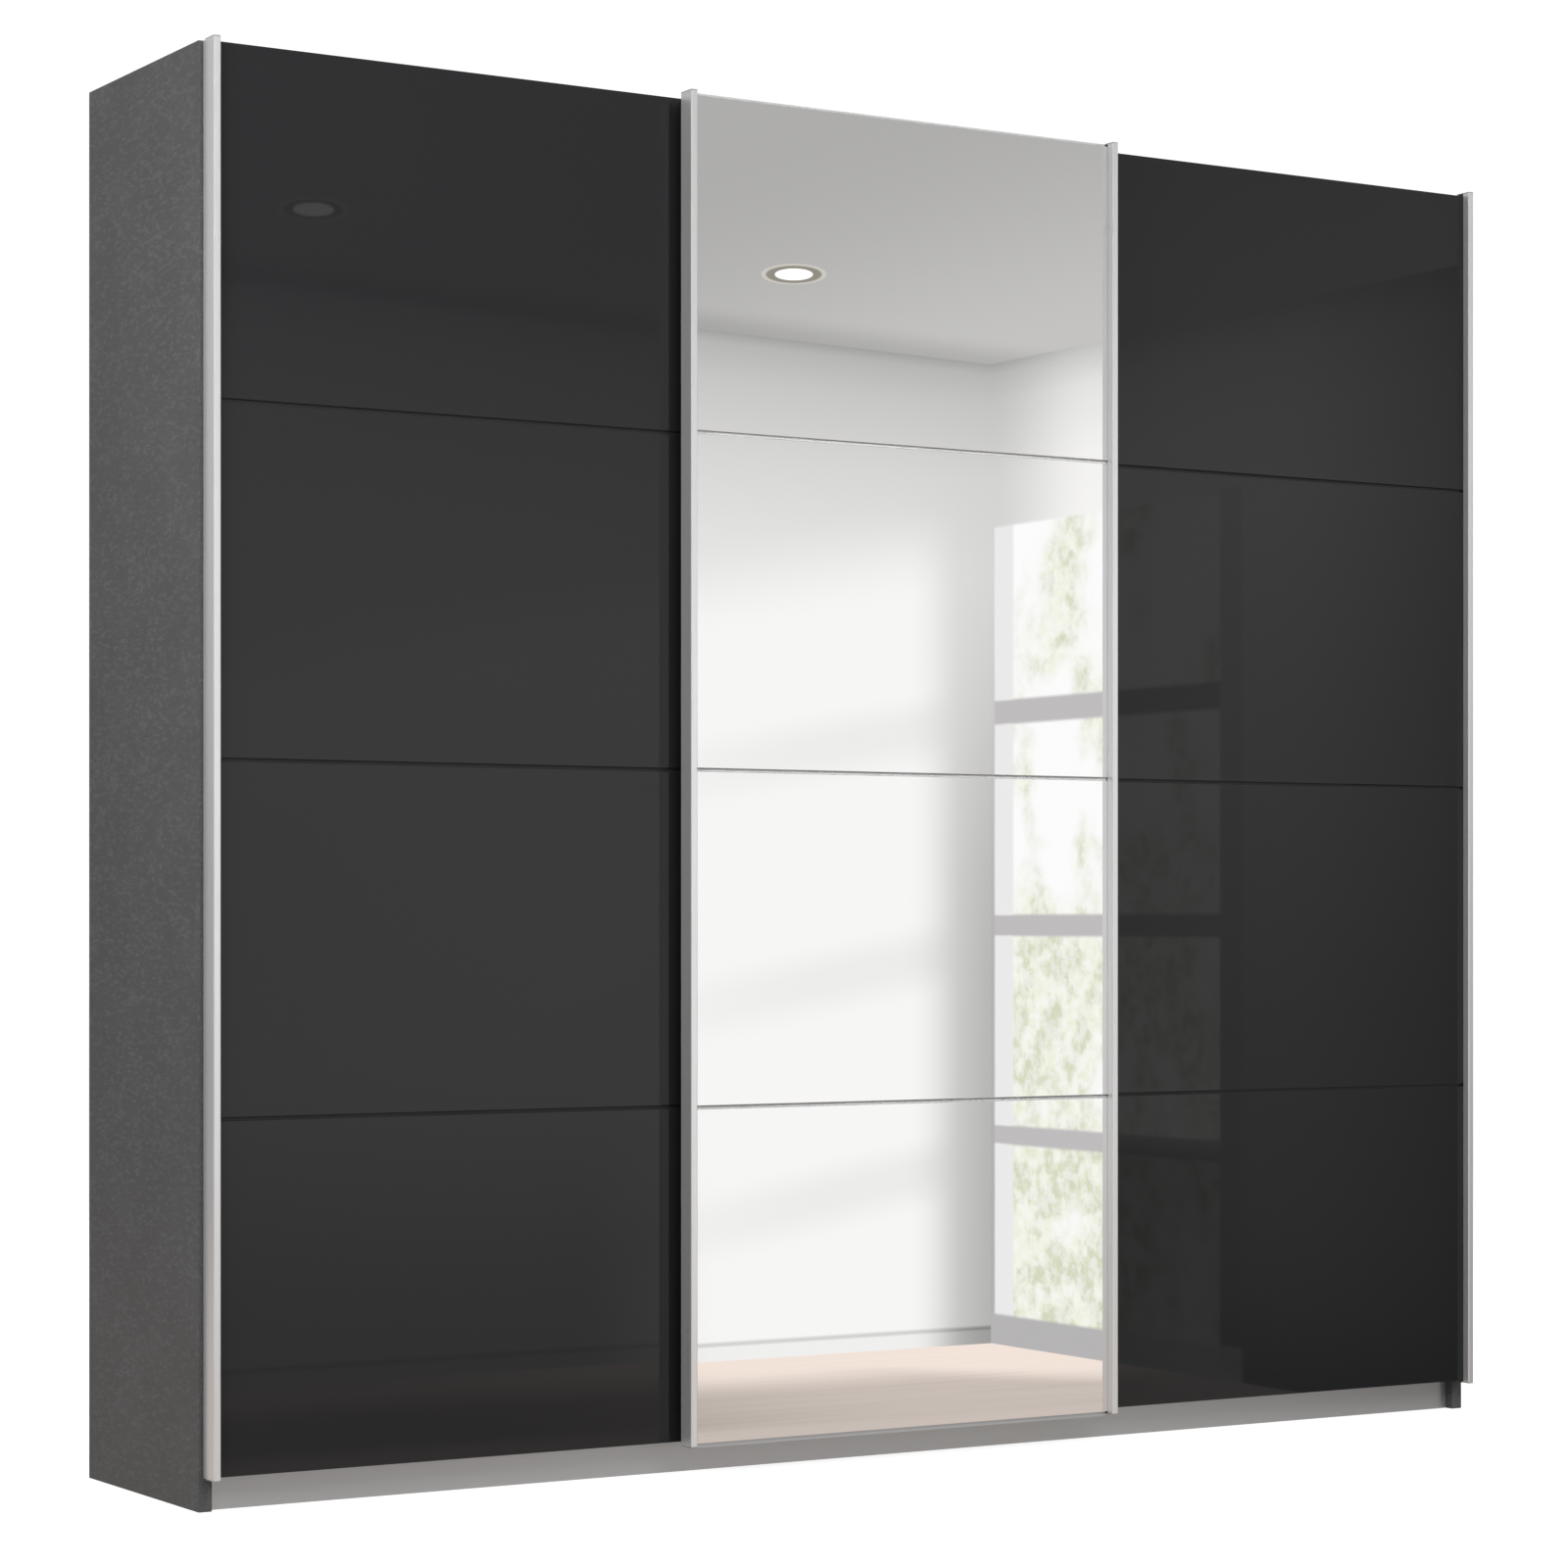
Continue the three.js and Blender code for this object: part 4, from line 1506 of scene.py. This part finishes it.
        # Skirting line and board slightly darker; painted shade darkens the board by the corner.
        board = z.ease(self.ledge[1], self.ledge[1] - 0.008)
        ledge = self._span(z, *self.ledge, 0.004) * 0.25 + board * 0.06
        return paint.glow(paint.mix(ledge + board * x.ease(2.1, 2.3) * 0.2, level, (0, 0, 0)))

    def _window_paint(self) -> bpy.types.Material:
        """Wall with a tall window of four panes and pale leaves outside."""
        paint = Paint("room_window")
        y, z = paint.axis("Y"), paint.axis("Z")
        opening = self._span(y, *self.window) * self._span(z, *self.window_heights)
        jamb = self._span(y, *self.jamb)
        bars = sum(self._span(z, *limits) for limits in self.bars).lowest(1.0)
        crowns = paint.noise((3.2, 3.2, 2.6), 3.0, 1.5)
        leaves = paint.noise((38.0, 38.0, 38.0), 5.0).ease(0.36, 0.64)
        growth = (crowns - z.ease(0.0, 2.0, -0.12, 0.06)).ease(0.42, 0.60) * (0.45 + 0.55 * leaves)
        tint = paint.noise(14.0, 3.0, 8.0).ease(0.4, 0.6)
        tint = paint.mix(tint, (0.88, 0.90, 0.76), (0.68, 0.71, 0.53))
        sky = paint.mix(growth, (1.0, 1.0, 1.0), tint)
        inside = paint.mix(bars, sky, (0.54, 0.52, 0.53))
        inside = paint.mix(jamb * (1.0 - bars), inside, (0.86, 0.85, 0.86))
        # Painted light: the wall grows brighter with height, dimmer right under the ceiling.
        bright = self._by_height(paint, [
            (-0.20, 0.18), (0.0, 0.33), (0.2, 0.42), (0.7, 0.54), (1.5, 0.80), (1.9, 0.95),
            (2.1, 0.92), (2.27, 0.80), (2.35, 0.62), (2.374, 0.55)])
        # Painted shade in the corner, and painted shade deepening towards the rear.
        wall = paint.mix(y.ease(-3.42, -2.95), self._corner_levels(paint), bright)
        wall = paint.mix(y.ease(-2.2, -1.2, 0.0, 0.5), wall, (0, 0, 0))
        casing = self._span(y, *self.casing) * self._span(z, -0.2, 1.95)
        sill = y.ease(-2.26, -2.28) * z.ease(-0.13, -0.142)
        wall = paint.mix(sill, wall, (0.48, 0.47, 0.475))
        dim = y.ease(-2.95, -2.82) * z.ease(0.36, 0.30) * 0.45
        inside = paint.mix(dim, inside, (0.05, 0.06, 0.05))
        wall = paint.mix(casing * 0.16, wall, (0.2, 0.2, 0.2))
        return paint.glow(paint.mix(opening, wall, inside))

    def _ceiling_paint(self) -> bpy.types.Material:
        """Grey ceiling, lighter towards the window, darker along the wall."""
        paint = Paint("room_ceiling")
        x, y = paint.axis("X"), paint.axis("Y")
        level = x.ease(0.4, 2.33, 0.435, 0.57) * (1.0 - y.ease(-3.05, -3.42, 0.0, 0.22))
        return paint.glow(paint.mix(level, (0, 0, 0), (1.0, 0.99, 0.975)))

    def _floor_paint(self) -> bpy.types.Material:
        """Warm pale boards with sun near the wall."""
        paint = Paint("room_floor")
        x, y = paint.axis("X"), paint.axis("Y")
        grain = paint.noise((1.4, 34.0, 1.0), 5.0).ease(0.3, 0.7)
        near = paint.mix(grain, (0.575, 0.505, 0.46), (0.615, 0.54, 0.495))
        lit = paint.mix(grain, (0.90, 0.78, 0.70), (0.93, 0.81, 0.73))
        level = paint.mix((y - 0.35 * x.ease(1.7, 2.2)).ease(-2.70, -3.22), near, lit)
        shadow = x.ease(1.5, 0.2, 0.0, 0.35) * y.ease(-2.12, -2.35)
        return paint.glow(paint.mix(shadow, level, (0, 0, 0)))


@dataclass
class Stage:
    """Pale floor, bright surround, soft lights and the camera."""

    camera_place: Point = (-3.631, -5.7827, 0.8924)
    camera_yaw: float = 31.411
    camera_lens: float = 91.298
    camera_rise: float = 0.08893
    background: float = 1.05
    light_above: float = 0.5
    light_below: float = 0.10
    aim: Point = (0.0, 0.0, 1.1)
    floor_radius: float = 40.0
    lamps: Sequence[tuple[str, Point, float, float]] = field(default_factory=lambda: [
        ("key", (-3.3, -1.6, 2.3), 1.6, 62.0),
        ("front", (-0.3, -4.6, 4.2), 2.4, 145.0),
        ("right", (4.4, -0.6, 2.6), 2.0, 60.0),
        ("rear", (1.0, 4.5, 3.6), 2.4, 150.0),
    ])

    def build(self) -> None:
        """Makes everything round the wardrobe."""
        scene = bpy.context.scene
        scene.view_settings.view_transform = "Standard"
        scene.view_settings.look = "None"
        self._camera()
        self._world()
        self._floor()
        for name, place, size, power in self.lamps:
            self._light(name, place, size, power)
        Room().build()

    def _camera(self) -> None:
        """Level camera with a raised frame, so that uprights stay parallel."""
        data = bpy.data.cameras.new("camera")
        data.sensor_width = 36.0
        data.lens = self.camera_lens
        data.shift_y = self.camera_rise
        camera = bpy.data.objects.new("camera", data)
        camera.location = self.camera_place
        camera.rotation_euler = (math.pi / 2, 0.0, -math.radians(self.camera_yaw))
        bpy.context.scene.collection.objects.link(camera)
        bpy.context.scene.camera = camera

    def _world(self) -> None:
        """White behind the wardrobe, softer as a light."""
        world = bpy.data.worlds.new("surround")
        world.use_nodes = True
        sheet = Sheet(world.node_tree)
        seen = sheet.node("ShaderNodeLightPath", output="Is Camera Ray")
        way = sheet.node("ShaderNodeTexCoord", output="Generated")
        rise = sheet.node("ShaderNodeSeparateXYZ", inputs={0: way}, output="Z")
        ambient = rise.ease(-0.2, 0.25, self.light_below, self.light_above)
        strength = seen * self.background + (1.0 - seen) * ambient
        light = sheet.node(
            "ShaderNodeBackground", inputs={"Color": (1, 1, 1, 1), "Strength": strength}
        )
        sheet.node("ShaderNodeOutputWorld", inputs={"Surface": light})
        bpy.context.scene.world = world

    def _floor(self) -> None:
        """A wide pale floor, left out of reflections and bounced light."""
        paint = Paint("pale_floor")
        soft = paint.noise(0.8, 2.0)
        material = paint.finish(
            Base_Color=paint.mix(soft, (0.27, 0.27, 0.27), (0.29, 0.29, 0.29)),
            Roughness=0.8,
            IOR_Level=0.0,
            Emission_Color=(1.0, 1.0, 1.0, 1.0),
            Emission_Strength=0.88,
        )
        edge = [(0, 0.0), (self.floor_radius, 0.0)]
        mesh = Shape().turned(edge, "z", (0, 0, 0), 48).data("floor")
        mesh.materials.append(material)
        if mesh.polygons[0].normal.z < 0:
            mesh.flip_normals()
        floor = bpy.data.objects.new("floor", mesh)
        bpy.context.scene.collection.objects.link(floor)
        floor.visible_glossy = False
        floor.visible_diffuse = False

    def _light(self, name: str, place: Point, size: float, power: float) -> None:
        """Adds a square soft light aimed at the wardrobe's middle."""
        data = bpy.data.lights.new(name, "AREA")
        data.shape = "SQUARE"
        data.size = size
        data.energy = power
        light = bpy.data.objects.new(name, data)
        light.location = place
        aim = Vector(self.aim) - Vector(place)
        light.rotation_euler = aim.to_track_quat("-Z", "Y").to_euler()
        light.visible_glossy = False
        bpy.context.scene.collection.objects.link(light)


def main() -> None:
    """Builds the stage, then each sub-assembly in order."""
    logging.basicConfig(level=logging.INFO, format="%(name)s: %(message)s")
    Stage().build()
    hardware = Hardware()
    assemblies = [
        Carcass(hardware),
        *(Bay(hardware, name) for name in ("left", "middle", "right")),
        Tracks(hardware),
        Door(hardware, "left", DARK_GLASS, DARK_CORE),
        Door(hardware, "middle", MIRROR, GREY_CORE, brushes=("left", "right"),
             top_strip=0.004, bottom_strip=0.0078),
        Door(hardware, "right", DARK_GLASS, DARK_CORE),
    ]
    for assembly in assemblies:
        LOG.info("building %s", type(assembly).__name__)
        assembly.dress()
        assembly.build()
    for template in hardware.templates.values():
        bpy.data.objects.remove(template)


if __name__ == "__main__":
    main()
